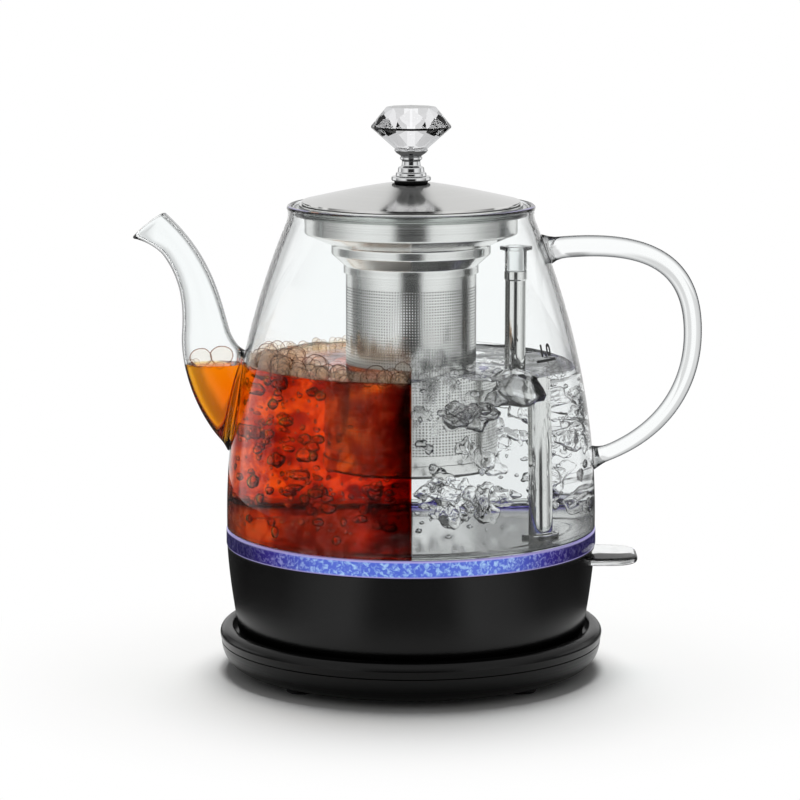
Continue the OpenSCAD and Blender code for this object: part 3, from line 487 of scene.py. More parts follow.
@dataclass(frozen=True)
class Metal(Finish):
    """Worked metal: fine lines along the way it was worked, which blur what it mirrors across them."""

    colour: str
    roughness: float
    grain: Grain
    line_mm: float
    depth_mm: float
    anisotropy: float = 0.0
    tones: tuple[float, float] = (0.9, 1.0)
    gloss_shares: tuple[float, float] = (0.85, 1.2)

    def shade(self, tree: bpy.types.NodeTree) -> None:
        """Build the metal with working lines in its tone, its gloss and its relief."""
        across = add_node(tree, "TexCoord").outputs["Object"]
        if self.grain is Grain.SPUN:
            flat = add_node(tree, "VectorMath", {0: across, 1: (1, 1, 0)}, operation="MULTIPLY")
            out = add_node(tree, "VectorMath", {0: flat}, operation="LENGTH")
            height = add_node(tree, "SeparateXYZ", {"Vector": across}).outputs["Z"]
            across = add_node(tree, "CombineXYZ", {"X": out, "Z": height})
        if self.grain is Grain.DRAWN:
            across = add_node(tree, "VectorMath", {0: across, 1: (1, 1, 0.02)}, operation="MULTIPLY")
        rings = {"Scale": 1 / (self.line_mm * MM), "Detail": 3.0, "Roughness": 0.6}
        lines = add_node(tree, "TexNoise", {"Vector": across, **rings})
        tone, gloss = [
            add_node(tree, "MapRange", {"Value": lines, **NOISE_SPAN, "To Min": low, "To Max": high})
            for low, high in (self.tones, [self.roughness * share for share in self.gloss_shares])
        ]
        colour = add_node(tree, "VectorMath", {0: linear(self.colour)[:3], "Scale": tone}, operation="SCALE")
        relief = add_node(tree, "Bump", {"Height": lines, "Strength": 0.5, "Distance": self.depth_mm * MM})
        body = add_node(
            tree,
            "BsdfPrincipled",
            {
                "Base Color": colour,
                "Metallic": 1.0,
                "Roughness": gloss,
                "Anisotropic": self.anisotropy,
                "Anisotropic Rotation": 0.25,
                "Normal": relief,
            },
        )
        if self.anisotropy > 0:
            round_axis = add_node(tree, "Tangent", direction_type="RADIAL", axis="Z")
            tree.links.new(round_axis.outputs["Tangent"], body.inputs["Tangent"])
        add_node(tree, "OutputMaterial", {"Surface": body})


@dataclass(frozen=True)
class Polymer(Finish):
    """Moulded plastic or rubber: the mould's fine spark grain breaks its gloss."""

    colour: str
    roughness: float
    specular: float
    grain_mm: float
    grain_depth_mm: float
    clear: float = 0.0
    wear_mm: float = 24.0
    tones: tuple[float, float] = (0.88, 1.0)
    gloss_shares: tuple[float, float] = (0.9, 1.1)

    def shade(self, tree: bpy.types.NodeTree) -> None:
        """Build the plastic with mould grain and slow changes of gloss."""
        place = add_node(tree, "TexCoord").outputs["Object"]
        grain, wear = [
            add_node(tree, "TexNoise", {"Vector": place, "Scale": 1 / (size * MM), "Detail": detail})
            for size, detail in ((self.grain_mm, 2.0), (self.wear_mm, 3.0))
        ]
        gloss, tone = [
            add_node(tree, "MapRange", {"Value": wear, **NOISE_SPAN, "To Min": low, "To Max": high})
            for low, high in ([self.roughness * share for share in self.gloss_shares], self.tones)
        ]
        colour = add_node(tree, "VectorMath", {0: linear(self.colour)[:3], "Scale": tone}, operation="SCALE")
        depth = self.grain_depth_mm * MM
        relief = add_node(tree, "Bump", {"Height": grain, "Strength": 0.4, "Distance": depth})
        body = add_node(
            tree,
            "BsdfPrincipled",
            {
                "Base Color": colour,
                "Roughness": gloss,
                "Specular IOR Level": self.specular,
                "Transmission Weight": self.clear,
                "Normal": relief,
            },
        )
        add_node(tree, "OutputMaterial", {"Surface": body})


@dataclass(frozen=True)
class LitAcrylic(Finish):
    """Clear acrylic ring lit from the board below: violet with bright flecks, bluer towards the front."""

    deep: str
    light: str
    front_deep: str
    front_light: str
    edge: str
    fleck_mm: float
    z_low: float
    z_high: float
    fleck_range: tuple[float, float] = (0.42, 0.72)
    front_y: tuple[float, float] = (-46.0, -68.0)
    edge_mm: tuple[float, float] = (0.75, 0.35)
    unlit: str = "#1C1640"
    # How strongly it glows straight on and aslant, where that changes, and how strongly its edges glow
    beam: tuple[float, float] = (0.85, 0.12)
    beam_range: tuple[float, float] = (0.12, 0.6)
    edge_power: float = 0.55

    def shade(self, tree: bpy.types.NodeTree) -> None:
        """Build the glow with flecks, a bluer front and pale edges."""
        place = add_node(tree, "TexCoord").outputs["Object"]
        parts = add_node(tree, "SeparateXYZ", {"Vector": place}).outputs
        spots = {"Scale": 1 / (self.fleck_mm * MM), "Detail": 3.0, "Distortion": 0.8}
        flecks = add_node(tree, "TexNoise", {"Vector": place, **spots})
        start, full = self.fleck_range
        bright = add_node(tree, "MapRange", {"Value": flecks, "From Min": start, "From Max": full}, **SOFT)
        side, front = [
            add_node(tree, "Mix", {"Factor": bright, 6: linear(deep), 7: linear(light)}, **COLOUR)
            for deep, light in ((self.deep, self.light), (self.front_deep, self.front_light))
        ]
        start, full = [y * MM for y in self.front_y]
        ahead = add_node(tree, "MapRange", {"Value": parts["Y"], "From Min": start, "From Max": full}, **SOFT)
        middle = (self.z_low + self.z_high) / 2
        rise = add_node(tree, "Math", {0: parts["Z"], 1: middle * MM}, operation="SUBTRACT")
        far = add_node(tree, "Math", {0: rise}, operation="ABSOLUTE")
        start, full = [((self.z_high - self.z_low) / 2 - width) * MM for width in self.edge_mm]
        rim = add_node(tree, "MapRange", {"Value": far, "From Min": start, "From Max": full})
        shown = side
        for share, colour in ((ahead, front), (rim, linear(self.edge))):
            shown = add_node(tree, "Mix", {"Factor": share, 6: shown, 7: colour}, **COLOUR)
        facing = add_node(tree, "LayerWeight", {"Blend": 0.5}).outputs["Facing"]
        ends = ("From Min", "From Max", "To Min", "To Max")
        span = dict(zip(ends, self.beam_range + self.beam))
        beam = add_node(tree, "MapRange", {"Value": facing, **span}, **SOFT)
        line = add_node(tree, "Math", {0: rim, 1: self.edge_power}, operation="MULTIPLY")
        power = add_node(tree, "Math", {0: beam, 1: line}, operation="MAXIMUM")
        body = add_node(
            tree,
            "BsdfPrincipled",
            {
                "Base Color": linear(self.unlit),
                "Roughness": 0.12,
                "Specular IOR Level": 0.3,
                "Emission Color": shown,
                "Emission Strength": power,
            },
        )
        add_node(tree, "OutputMaterial", {"Surface": body})


# Blown borosilicate is water clear, with slow ripples from the blowing and dark, bent edges; part of that dark
# is painted shade, a grey laid over the tint where the skin turns from the eye
GLASS = ClearBody(
    "blown_borosilicate",
    ior=1.47,
    tint="#FDFEFE",
    mirror=0.16,
    edge_mirror=1.0,
    edge_range=(0.3, 0.6),
    inner_mirror=0.9,
    painted_edge_shade="#6A6C6E",
    painted_shade_range=(0.88, 0.97),
    ripple_mm=26,
    ripple_depth_mm=0.03,
)
# The spout is a narrow tube of the same glass, so its edges lie in fewer degrees and look darker;
# its painted edge shade is darker and reaches further in
GLASS_TUBE = replace(
    GLASS,
    name="drawn_borosilicate_tube",
    inner_mirror=1.0,
    painted_edge_shade="#66686A",
    painted_shade_range=(0.42, 0.8),
)
# The handle is a solid rod, which bends light more: soft grey inside, with a dark line along both edges;
# both are partly painted shade, laid over the tint from a little off the middle out to the edges
GLASS_ROD = replace(
    GLASS,
    name="drawn_borosilicate_rod",
    edge_mirror=0.2,
    inner_mirror=0.5,
    painted_edge_shade="#77797B",
    painted_shade_range=(0.2, 0.6),
)
# Cut and polished crystal has flat, sharp facets that throw light about; facets turned from the eye get
# a painted grey shade
CRYSTAL = ClearBody(
    "cut_crystal",
    ior=1.54,
    tint="#FEFEFF",
    mirror=0.5,
    painted_edge_shade="#A8AAAC",
    painted_shade_range=(0.3, 0.9),
    ripple_mm=6,
    ripple_depth_mm=0.002,
)
# Clear acrylic, injection moulded, is as clear as glass with a softer flow in it
ACRYLIC = ClearBody(
    "moulded_acrylic", ior=1.49, tint="#FBFCFC", mirror=0.5, ripple_mm=9, ripple_depth_mm=0.02
)
# Spun and brushed stainless steel mirrors softly, drawn out across its rings; rings are drawn coarse to show
SPUN_STEEL = Metal("spun_stainless_steel", "#ECECEA", 0.17, Grain.SPUN, 0.7, 0.003, 0.5)
# The lid is spun the same way, then polished: a clear mirror with faint rings
LID_STEEL = Metal("polished_spun_steel", "#E2E2E0", 0.11, Grain.SPUN, 0.7, 0.001, 0.3)
# Etched stainless sheet keeps a plain satin face between its holes
MESH_STEEL = Metal("etched_stainless_sheet", "#EAEAE8", 0.17, Grain.SPUN, 0.9, 0.003)
# Drawn stainless tube and wire is bright, with faint lines along it
DRAWN_STEEL = Metal("drawn_stainless_steel", "#EAEAE8", 0.05, Grain.DRAWN, 0.5, 0.001)
# Polished chrome plate is a clean mirror
CHROME = Metal("polished_chrome_plate", "#E6E7E8", 0.05, Grain.CAST, 3.0, 0.001)
BRASS = Metal("stamped_brass", "#C9A45C", 0.3, Grain.CAST, 1.2, 0.004)
ALUMINIUM = Metal("cast_aluminium", "#B4B5B6", 0.42, Grain.CAST, 1.0, 0.02)
ELEMENT_STEEL = Metal("heat_darkened_steel", "#6E6862", 0.4, Grain.CAST, 1.6, 0.01)
# Polypropylene, spark grained in the mould: deep black with a wide soft sheen
SHELL_PLASTIC = Polymer("spark_grained_polypropylene", "#070707", 0.22, 0.33, 0.35, 0.006)
BASE_PLASTIC = Polymer("moulded_black_polypropylene", "#050505", 0.24, 0.24, 0.35, 0.005)
INNER_PLASTIC = Polymer("moulded_glass_filled_nylon", "#1B1B1C", 0.5, 0.4, 0.4, 0.015)
RUBBER = Polymer("moulded_black_rubber", "#101010", 0.75, 0.3, 0.5, 0.03)
# Moulded silicone is milky, lets light through and has hardly any shine
SILICONE = ClearBody("moulded_clear_silicone", ior=1.41, tint="#F2F4F3", roughness=0.12, mirror=0.5)
CIRCUIT_BOARD = Polymer("solder_masked_board", "#1C5A34", 0.35, 0.5, 0.6, 0.004)
LAMP_LENS = Polymer("clear_lamp_lens", "#E8ECF4", 0.15, 0.5, 1.0, 0.002, 0.5)
# Screen printed enamel lies flat and black on the glass
PRINT_ENAMEL = Polymer("screen_printed_enamel", "#17181A", 0.5, 0.4, 0.2, 0.002)
RING_GLOW = LitAcrylic(
    "edge_lit_acrylic", "#3B2C9C", "#A29AEC", "#5670DC", "#AED6FF", "#B9B0EE", 1.6, 50.0, 56.5
)
# Strong black tea takes up blue at once, then green, so thin layers are amber and deep ones red
TEA = ClearBody(
    "black_tea",
    ior=1.333,
    mirror=0.2,
    edge_mirror=1.0,
    # Metal mirrors the tea's top as pale froth, a painted reflection
    painted_froth_reflection=0.9,
    swirl="#D09070",
    ripple_mm=8,
    ripple_depth_mm=0.05,
    absorbs=(2.0, 24.0, 88.0),
)
# What stands in the spout is the first, strongest draw: amber even in a thin layer
SPOUT_TEA = ClearBody(
    "drawn_black_tea", ior=1.333, mirror=0.2, ripple_mm=8, ripple_depth_mm=0.1, absorbs=(4.0, 95.0, 420.0)
)
# Stronger tea by the basket and on the floor: partly tea that steeps there, partly painted shade that darkens
# the tea in front of the basket and above the floor; it has no edge that bends light
STRONG_TEA_AND_SHADE = ClearBody(
    "steeping_tea_and_painted_shade", ior=1.0, mirror=0.0, ripple_depth_mm=0.001, absorbs=(60.0, 140.0, 200.0)
)
WATER = ClearBody(
    "boiling_water", ior=1.333, mirror=0.2, ripple_mm=8, ripple_depth_mm=0.03, absorbs=(1.2, 1.15, 1.1)
)
# Hotter water that rises bends light a little, which draws soft grey clouds
HOT_PLUME = ClearBody(
    "rising_hot_water", ior=0.95, roughness=0.16, mirror=0.0, ripple_mm=4, ripple_depth_mm=0.3
)
# A bubble in water is a hole in it, so its index is one over that of water
BUBBLE = ClearBody("steam_bubble", ior=0.75, roughness=0.16, mirror=0.8, ripple_mm=3, ripple_depth_mm=0.01)
# A floating bubble's skin of tea or water is clear, with a painted brown or grey line of shade where it is
# seen edge on
TEA_SKIN = Film("tea_bubble_skin", "#9C5C2A", "#F3D3A6", 0.02, 0.02, "#FFFDFA")
WATER_SKIN = Film("water_bubble_skin", "#5C5E60", "#F0F0F0", 0.04)
# Where tea and water meet, each mirrors itself, so that from its own side the jug looks full of it
PARTING = Metal("liquid_parting_face", "#FFFFFF", 0.0, Grain.CAST, 3.0, 0.0001)

SLOT_FINISH: dict[str, Finish] = {
    "glass": GLASS,
    "crystal": CRYSTAL,
    "satin_steel": SPUN_STEEL,
    "mesh_steel": MESH_STEEL,
    "bright_steel": DRAWN_STEEL,
    "chrome": CHROME,
    "clear_plastic": ACRYLIC,
    "light_plastic": RING_GLOW,
    "silicone": SILICONE,
    "black_plastic": SHELL_PLASTIC,
    "base_plastic": BASE_PLASTIC,
    "inner_plastic": INNER_PLASTIC,
    "black_rubber": RUBBER,
    "brass": BRASS,
    "aluminium": ALUMINIUM,
    "element_steel": ELEMENT_STEEL,
    "board": CIRCUIT_BOARD,
    "light": LAMP_LENS,
}


def seat(
    made: bpy.types.Object, finish: Finish, body: Body, replaces: Sequence[str] = ()
) -> bpy.types.Object:
    """Dress a piece, make it ride on its body and let it stand for CAD nodes.

    Args:
        made: The piece, in place.
        finish: Its surface.
        body: Body that carries it.
        replaces: CAD nodes that it stands for.

    Returns:
        The piece.
    """
    made.data.materials.clear()
    made.data.materials.append(finish.material())
    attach(made, body.value)
    if replaces:
        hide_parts(*replaces)
    LOG.info("%s: %d faces, %s", made.name, len(made.data.polygons), finish.name)
    return made


@dataclass
class JugForm:
    """Outline of the blown jug."""

    side: tuple = ((71.8, 56.65), (71.8, 67.85), (73.2, 116.05), (48.2, 175.5))
    neck: tuple = ((48.2, 175.5), (46.96, 178.45), (48.0, 181.3))
    wall: float = 2.2
    lip: float = 1.1
    foot_bend: float = 0.5

    @cached_property
    def outside(self) -> np.ndarray:
        """Outer line from the foot to the lip."""
        return np.array(run(self.side, 72) + run(self.neck, 14)[1:])

    @cached_property
    def inside(self) -> np.ndarray:
        """Inner line from the foot to the lip."""
        return beside(self.outside, self.wall)

    def outer_at(self, z: float) -> float:
        """Outer radius at a height."""
        return float(np.interp(z, self.outside[:, 1], self.outside[:, 0]))

    def inner_at(self, z: float) -> float:
        """Inner radius at a height."""
        return float(np.interp(z, self.inside[:, 1], self.inside[:, 0]))

    def profile(self) -> Profile:
        """Closed profile of the wall with its round lip and a fire-polished foot."""
        bend = self.foot_bend
        (in_r, in_z), (out_r, out_z) = self.inside[0], self.outside[0]
        foot = [(in_r + bend, in_z), (out_r - bend, out_z), (out_r, out_z + bend)]
        top = self.outside[-1]
        rim = [
            (top[0] - self.lip + self.lip * math.cos(a), top[1] + self.lip * math.sin(a))
            for a in np.linspace(0, math.pi, 13)[1:-1]
        ]
        outer = [tuple(p) for p in self.outside[1:]]
        inner = [tuple(p) for p in self.inside[:0:-1]]
        return foot + outer + rim + inner + [(in_r, in_z + bend)]


JUG = JugForm()


@dataclass
class Branch:
    """A glass tube or rod that grows out of the jug along two joined curves in the XZ plane."""

    first: tuple
    second: tuple
    mirror: float
    seam_gap: float = 0.15

    def middle(self, u: float) -> np.ndarray:
        """Middle of the branch at u of 0 to 1, as X and Z."""
        point = bezier(self.first, 2 * u) if u < 0.5 else bezier(self.second, 2 * u - 1)
        return point * (self.mirror, 1)

    def point(self, u: float, angle: float, half: tuple[float, float]) -> np.ndarray:
        """Point of the skin.

        Args:
            u: Place along the branch.
            angle: Turn round it; 0 is the outer side of the spout.
            half: Half widths in the plane and across it.

        Returns:
            The point in space.
        """
        p = self.middle(u)
        d = self.middle(u + 0.002) - self.middle(u - 0.002)
        d = d / np.linalg.norm(d)
        reach = half[0] * math.cos(angle)
        return np.array([p[0] - d[1] * reach, half[1] * math.sin(angle), p[1] + d[0] * reach])

    def leaves(self, angle: float, half: Callable, inner: float, outer: float) -> float:
        """Find where one line along the branch leaves the jug.

        Args:
            angle: Which line.
            half: Half widths at a place.
            inner: A place inside the jug.
            outer: A place outside it.

        Returns:
            The place on the jug's surface.
        """
        for _ in range(24):
            mid = (inner + outer) / 2
            q = self.point(mid, angle, half(mid))
            if math.hypot(q[0], q[1]) - JUG.outer_at(q[2]) > self.seam_gap:
                outer = mid
            else:
                inner = mid
        return outer

    def flared(self, q: np.ndarray, u: float, run_mm: float, width: float, reach: float) -> np.ndarray:
        """Swell a point near a weld, and lay it back on the jug at the weld itself.

        Args:
            q: The point.
            u: Its place along the branch.
            run_mm: How far it lies from the weld.
            width: How far the weld swells.
            reach: How far along the swelling goes.

        Returns:
            The moved point.
        """
        swell = width * max(0.0, 1 - run_mm / reach) ** 2
        if swell <= 0:
            return q
        p = self.middle(u)
        out = q - np.array([p[0], 0, p[1]])
        q = q + out / np.linalg.norm(out) * swell
        off = math.hypot(q[0], q[1])
        least = JUG.outer_at(q[2]) + self.seam_gap
        if run_mm <= 0 or off < least:
            q[:2] *= least / off
        return q


@dataclass
class GlassBody:
    """Jug, gooseneck spout and rod handle."""

    segments: int = 192
    port_r: float = 8.0
    port_z: tuple[float, float] = (99.5, 111.5)
    port_x: tuple[float, float] = (-82.0, -50.0)
    spout_sides: int = 120
    spout_rings: int = 220
    spout_tip: float = 5.9
    spout_root: tuple[float, float] = (20.0, 13.0)
    spout_wall: float = 1.3
    spout_ease: float = 1.15
    # How far a weld swells, and how far along that goes
    spout_weld: tuple[float, float] = (1.3, 4.5)
    handle_weld: tuple[float, float] = (1.6, 6.0)
    # Where the pouring lip, and its roll, start along the spout, and how long they are
    lip_span: tuple[float, float] = (0.9, 0.1)
    roll_span: tuple[float, float] = (0.955, 0.045)
    lip_pull: float = 5.0
    lip_drop: float = 0.6
    lip_roll: float = 0.6
    lip_swell: float = 0.8
    rim_lift: float = 1.3
    handle_sides: int = 40
    handle_rings: int = 110
    handle_r: float = 3.09
    handle_root: float = 1.2
    handle_taper: float = 1.5

    def __post_init__(self) -> None:
        """Lay out the two branches."""
        self.spout = Branch(
            ((59.8, 103.0), (67.8, 105.5), (78.2, 119.0), (79.6, 132.0)),
            ((79.6, 132.0), (81.0, 145.0), (82.5, 160.0), (99.0, 175.0)),
            -1.0,
        )
        self.handle = Branch(
            ((46.0, 164.2), (92.0, 171.5), (109.3, 160.0), (109.3, 132.0)),
            ((109.3, 132.0), (109.3, 109.0), (95.0, 88.0), (64.0, 81.5)),
            1.0,
        )

    def build(self) -> None:
        """Make all three glasses."""
        self.jug()
        self.gooseneck()
        self.rod()

    def jug(self) -> None:
        """Turn the jug and cut its port into the spout."""
        made = raw_object("glass_jug_blown", lathe(JUG.profile(), self.segments))
        low, high = self.port_z
        turns = np.linspace(0, 2 * math.pi, 48, endpoint=False)
        ring = [
            (self.port_r * math.cos(a), (high if math.sin(a) > 0 else low) + self.port_r * math.sin(a))
            for a in turns
        ]
        rings = [[(x, y, z) for y, z in ring] for x in self.port_x]
        carve(made, raw_object("port_tool", loft(rings, False)), "DIFFERENCE")
        seat(made, GLASS, Body.KETTLE, ["glass_jug"])

    def spout_half(self, u: float, inset: float = 0.0) -> tuple[float, float]:
        """Half widths of the spout, in its plane and across, less an inset."""
        grow = max(1 - u, 0) ** 2
        return tuple(self.spout_tip + (root - self.spout_tip) * grow - inset for root in self.spout_root)

    def spout_point(self, u: float, angle: float, inset: float) -> np.ndarray:
        """Point of the spout's skin, with its lip drawn out and rolled down and the rim's sides raised."""
        drawn, rolled = [
            max(0.0, (u - start) / length) ** 2 for start, length in (self.lip_span, self.roll_span)
        ]
        low = ((1 + math.cos(angle)) / 2) ** 2
        inset *= 1 + self.lip_swell * rolled * low
        q = self.spout.point(u, angle, self.spout_half(u, inset))
        drop = drawn * self.lip_drop + rolled * self.lip_roll * low
        return q + np.array(
            [-drawn * low * self.lip_pull, 0, drawn * math.sin(angle) ** 2 * self.rim_lift - low * drop]
        )

    def spout_skin(self, inset: float, weld: float) -> np.ndarray:
        """Points of one skin of the spout.

        Args:
            inset: How far inside the outer skin it lies.
            weld: How far the weld at its root swells.

        Returns:
            Rings by sides by coordinates.
        """
        skin = np.zeros((self.spout_rings + 1, self.spout_sides, 3))
        for j in range(self.spout_sides):
            angle = math.pi - 2 * math.pi * j / self.spout_sides
            start = self.spout.leaves(angle, lambda u: self.spout_half(u, inset), 0.0, 0.6)
            steps = [(i / self.spout_rings) ** self.spout_ease for i in range(self.spout_rings + 1)]
            line = [start + (1 - start) * step for step in steps]
            spots = [self.spout_point(u, angle, inset) for u in line]
            for i, u in enumerate(line):
                run_mm = float(np.linalg.norm(spots[i] - spots[0]))
                skin[i, j] = self.spout.flared(spots[i].copy(), u, run_mm, weld, self.spout_weld[1])
        return skin

    def gooseneck(self) -> None:
        """Loft the hollow spout with its weld and its fire-polished mouth."""
        outer = self.spout_skin(0.0, self.spout_weld[0])
        inner = self.spout_skin(self.spout_wall, 0.0)
        ahead = outer[-1] - outer[-2] + inner[-1] - inner[-2]
        ahead /= np.linalg.norm(ahead, axis=1)[:, None]
        half = np.linalg.norm(outer[-1] - inner[-1], axis=1)[:, None] / 2
        forward = ahead * half
        centre = (outer[-1] + inner[-1]) / 2 - forward
        arm = (outer[-1] - inner[-1]) / 2
        mouth = [centre + arm * math.cos(a) + forward * math.sin(a) for a in np.linspace(0, math.pi, 9)]
        rings = list(outer[:-2]) + mouth + list(inner[-3::-1])
        made = raw_object("glass_spout_drawn", loft(rings, True), 50)
        seat(made, GLASS_TUBE, Body.KETTLE, ["glass_spout"])

    def rod(self) -> None:
        """Loft the solid handle rod with a weld at both ends."""

        def half(u: float) -> tuple[float, float]:
            """Half widths of the rod."""
            r = self.handle_r + self.handle_root * max(1 - u, 0) ** self.handle_taper
            return r, r

        rings = np.zeros((self.handle_rings + 1, self.handle_sides, 3))
        for j in range(self.handle_sides):
            angle = 2 * math.pi * j / self.handle_sides
            first = self.handle.leaves(angle, half, 0.0, 0.3)
            last = self.handle.leaves(angle, half, 1.0, 0.7)
            line = [first + (last - first) * i / self.handle_rings for i in range(self.handle_rings + 1)]
            spots = [self.handle.point(u, angle, half(u)) for u in line]
            for i, u in enumerate(line):
                run_mm = min(float(np.linalg.norm(spots[i] - spots[k])) for k in (0, -1))
                rings[i, j] = self.handle.flared(spots[i].copy(), u, run_mm, *self.handle_weld)
        made = raw_object("glass_handle_rod", loft(list(rings), False), 60)
        seat(made, GLASS_ROD, Body.KETTLE, ["glass_handle"])


@dataclass
class Infuser:
    """Stepped collar, fine basket, its floor and the soft ring in the glass mouth."""

    sheet: float = 0.7
    basket_r: float = 25.25
    basket_sheet: float = 0.5
    basket_low: float = 80.7
    basket_high: float = 159.05
    holes_low: float = 88.0
    holes_high: float = 151.5
    columns: int = 144
    rows: int = 58
    hole: float = 0.56
    # Radius, height and rounding of each corner
    collar_line: tuple = (
        (26.1, 156.2, 0), (26.1, 159.2, 0.9), (30.8, 163.5, 0.9), (30.8, 167.0, 0.9), (41.1, 171.4, 1.2),
        (41.1, 181.9, 0.6), (43.2, 181.9, 0),
    )
    floor_line: tuple = ((0, 80.05, 0), (25.9, 80.05, 1.6), (25.9, 84.7, 0))
    seal_r: float = 41.3
    seal_z: tuple[float, float] = (179.0, 181.7)
    rib: float = 0.4

    def build(self) -> None:
        """Make the infuser's four pieces."""
        self.collar()
        self.basket()
        self.floor()
        self.seal()

    def collar(self) -> None:
        """Bend the collar's sheet out of one stepped line."""
        line = rounded(self.collar_line, closed=False)
        profile = line + behind(line, self.sheet)
        made = raw_object("infuser_collar_spun", lathe(profile), 30)
        seat(made, SPUN_STEEL, Body.INFUSER, ["infuser_collar"])

    def basket(self) -> None:
        """Etch the basket's sheet: every hole is a real one."""
        pitch_z = (self.holes_high - self.holes_low) / self.rows
        step = 2 * math.pi / self.columns
        turn = step * np.arange(self.columns)
        half_a = self.hole / 2 / self.basket_r
        half_z = self.hole / 2
        points: list = []
        grids = []
        for r in (self.basket_r, self.basket_r - self.basket_sheet):
            rows = [self.holes_low + pitch_z * j for j in range(self.rows + 1)]
            rows = [self.basket_low] + rows + [self.basket_high]
            first = len(points)
            points += [(r * math.cos(a), r * math.sin(a), z) for z in rows for a in turn]
            grid = first + np.arange(len(rows) * self.columns).reshape(len(rows), self.columns)
            first = len(points)
            for j in range(self.rows):
                z = self.holes_low + pitch_z * (j + 0.5)
                for a in turn + step / 2:
                    for da, dz in ((-1, -1), (1, -1), (1, 1), (-1, 1)):
                        spot = a + da * half_a
                        points.append((r * math.cos(spot), r * math.sin(spot), z + dz * half_z))
            edge = first + np.arange(self.rows * self.columns * 4).reshape(self.rows, self.columns, 4)
            grids.append((grid, edge))
        faces: list = []
        right = np.roll(np.arange(self.columns), -1)
        for grid, edge in grids:
            for j in range(self.rows):
                low, high = grid[j + 1], grid[j + 2]
                corners = (low, low[right], high[right], high)
                for k in range(4):
                    n = (k + 1) % 4
                    faces += list(zip(corners[k], corners[n], edge[j, :, n], edge[j, :, k]))
            for low, high in ((grid[0], grid[1]), (grid[-2], grid[-1])):
                faces += list(zip(low, low[right], high[right], high))
        (out_grid, out_edge), (in_grid, in_edge) = grids
        for k in range(4):
            n = (k + 1) % 4
            corners = (out_edge[:, :, k], out_edge[:, :, n], in_edge[:, :, n], in_edge[:, :, k])
            faces += list(zip(*[corner.ravel() for corner in corners]))
        for row in (0, -1):
            low, high = out_grid[row], in_grid[row]
            faces += list(zip(low, low[right], high[right], high))
        made = raw_object("infuser_basket_etched", (points, [tuple(int(i) for i in f) for f in faces]), 30)
        seat(made, MESH_STEEL, Body.INFUSER, ["infuser_basket"])

    def floor(self) -> None:
        """Press the basket's floor as a shallow cup with a round edge."""
        line = rounded(self.floor_line, closed=False, steps=8)
        inner = behind(line, self.basket_sheet)
        inner[-1] = (0.0, inner[-1][1])
        made = raw_object("infuser_floor_pressed", lathe(line + inner), 30)
        seat(made, SPUN_STEEL, Body.INFUSER, ["infuser_floor"])

    def seal(self) -> None:
        """Mould the mouth ring with two soft ribs that follow the flare of the glass."""
        low, high = self.seal_z
        pitch = (high - low) / 2
        ribs = []
        for z in np.linspace(low, high, 25):
            wave = 0.5 + 0.5 * math.cos(2 * math.pi * (z - low) / pitch)
            ribs.append((JUG.inner_at(z) - self.rib - self.rib * wave, float(z)))
        profile = [(self.seal_r, low)] + ribs + [(self.seal_r, high)]
        made = raw_object("mouth_seal_ribbed", lathe(profile), 40)
        seat(made, SILICONE, Body.INFUSER, ["mouth_seal"])


@dataclass
class Lid:
    """Domed lid with its skirt, turned stem and cut crystal knob."""

    sheet: float = 0.8
    table_r: float = 9.5
    crown_r: float = 13.1
    girdle_r: float = 15.4
    foot_r: float = 6.2
    dome: tuple = ((42.2, 183.8), (18.2, 189.5), (7.0, 190.9))
    # Radius, height and rounding of each corner
    skirt: tuple = ((39.3, 176.4, 0.3), (40.1, 176.4, 0.3), (40.1, 183.7, 0.2), (39.3, 183.7, 0.2))
    stem_line: tuple = (
        (0, 191.7, 0), (7.7, 191.7, 0.5), (7.7, 193.3, 0.7), (6.0, 193.5, 0.3), (5.9, 194.7, 0.5),
        (5.2, 195.0, 0.3), (5.0, 196.8, 0.6), (3.7, 197.4, 0.7), (3.5, 199.3, 0.8), (4.3, 199.9, 0.3),
        (4.3, 200.7, 0.3), (3.9, 201.0, 0.3), (6.0, 202.4, 0.8), (6.6, 203.4, 0.4), (6.3, 203.8, 0.2),
        (0, 203.75, 0),
    )

    def build(self) -> None:
        """Make the lid's three pieces."""
        self.cover()
        self.stem()
        self.crystal()

    def cover(self) -> None:
        """Spin the dome, and set its skirt inside the collar."""
        line = [(42.2, 182.9), (42.2, 183.3)] + run(self.dome, 40) + [(2.6, 190.9)]
        under = behind(line, self.sheet)
        under[-1] = (41.5, 182.9)
        made = raw_object("lid_cover_spun", merged(lathe(line + under), lathe(rounded(self.skirt))), 40)
        seat(made, LID_STEEL, Body.LID, ["lid_cover"])

    def stem(self) -> None:
        """Turn the stem in soft steps up to the cup that holds the crystal."""
        line = rounded(self.stem_line, closed=False)
        made = raw_object("knob_stem_turned", lathe(line, 96), 25)
        seat(made, CHROME, Body.LID, ["knob_stem"])

    def crystal(self) -> None:
        """Cut the crystal as the hull of its rings of corners."""
        rings = (
            (self.foot_r, 203.8, 8, 0.0),
            (self.girdle_r, 211.9, 16, 0.0),
            (self.girdle_r, 212.7, 16, 0.0),
            (self.crown_r, 216.4, 8, math.pi / 8),
            (self.table_r, 220.0, 8, 0.0),
        )
        shape = bmesh.new()
        for r, z, count, first in rings:
            for i in range(count):
                a = first + 2 * math.pi * i / count
                shape.verts.new((r * math.cos(a) * MM, r * math.sin(a) * MM, z * MM))
        bmesh.ops.convex_hull(shape, input=shape.verts)
        bmesh.ops.dissolve_limit(shape, angle_limit=math.radians(0.5), verts=shape.verts, edges=shape.edges)
        bmesh.ops.recalc_face_normals(shape, faces=shape.faces)
        data = bpy.data.meshes.new("knob_crystal_cut")
        shape.to_mesh(data)
        shape.free()
        made = placed("knob_crystal_cut", data)
        seat(made, CRYSTAL, Body.LID, ["knob_crystal"])


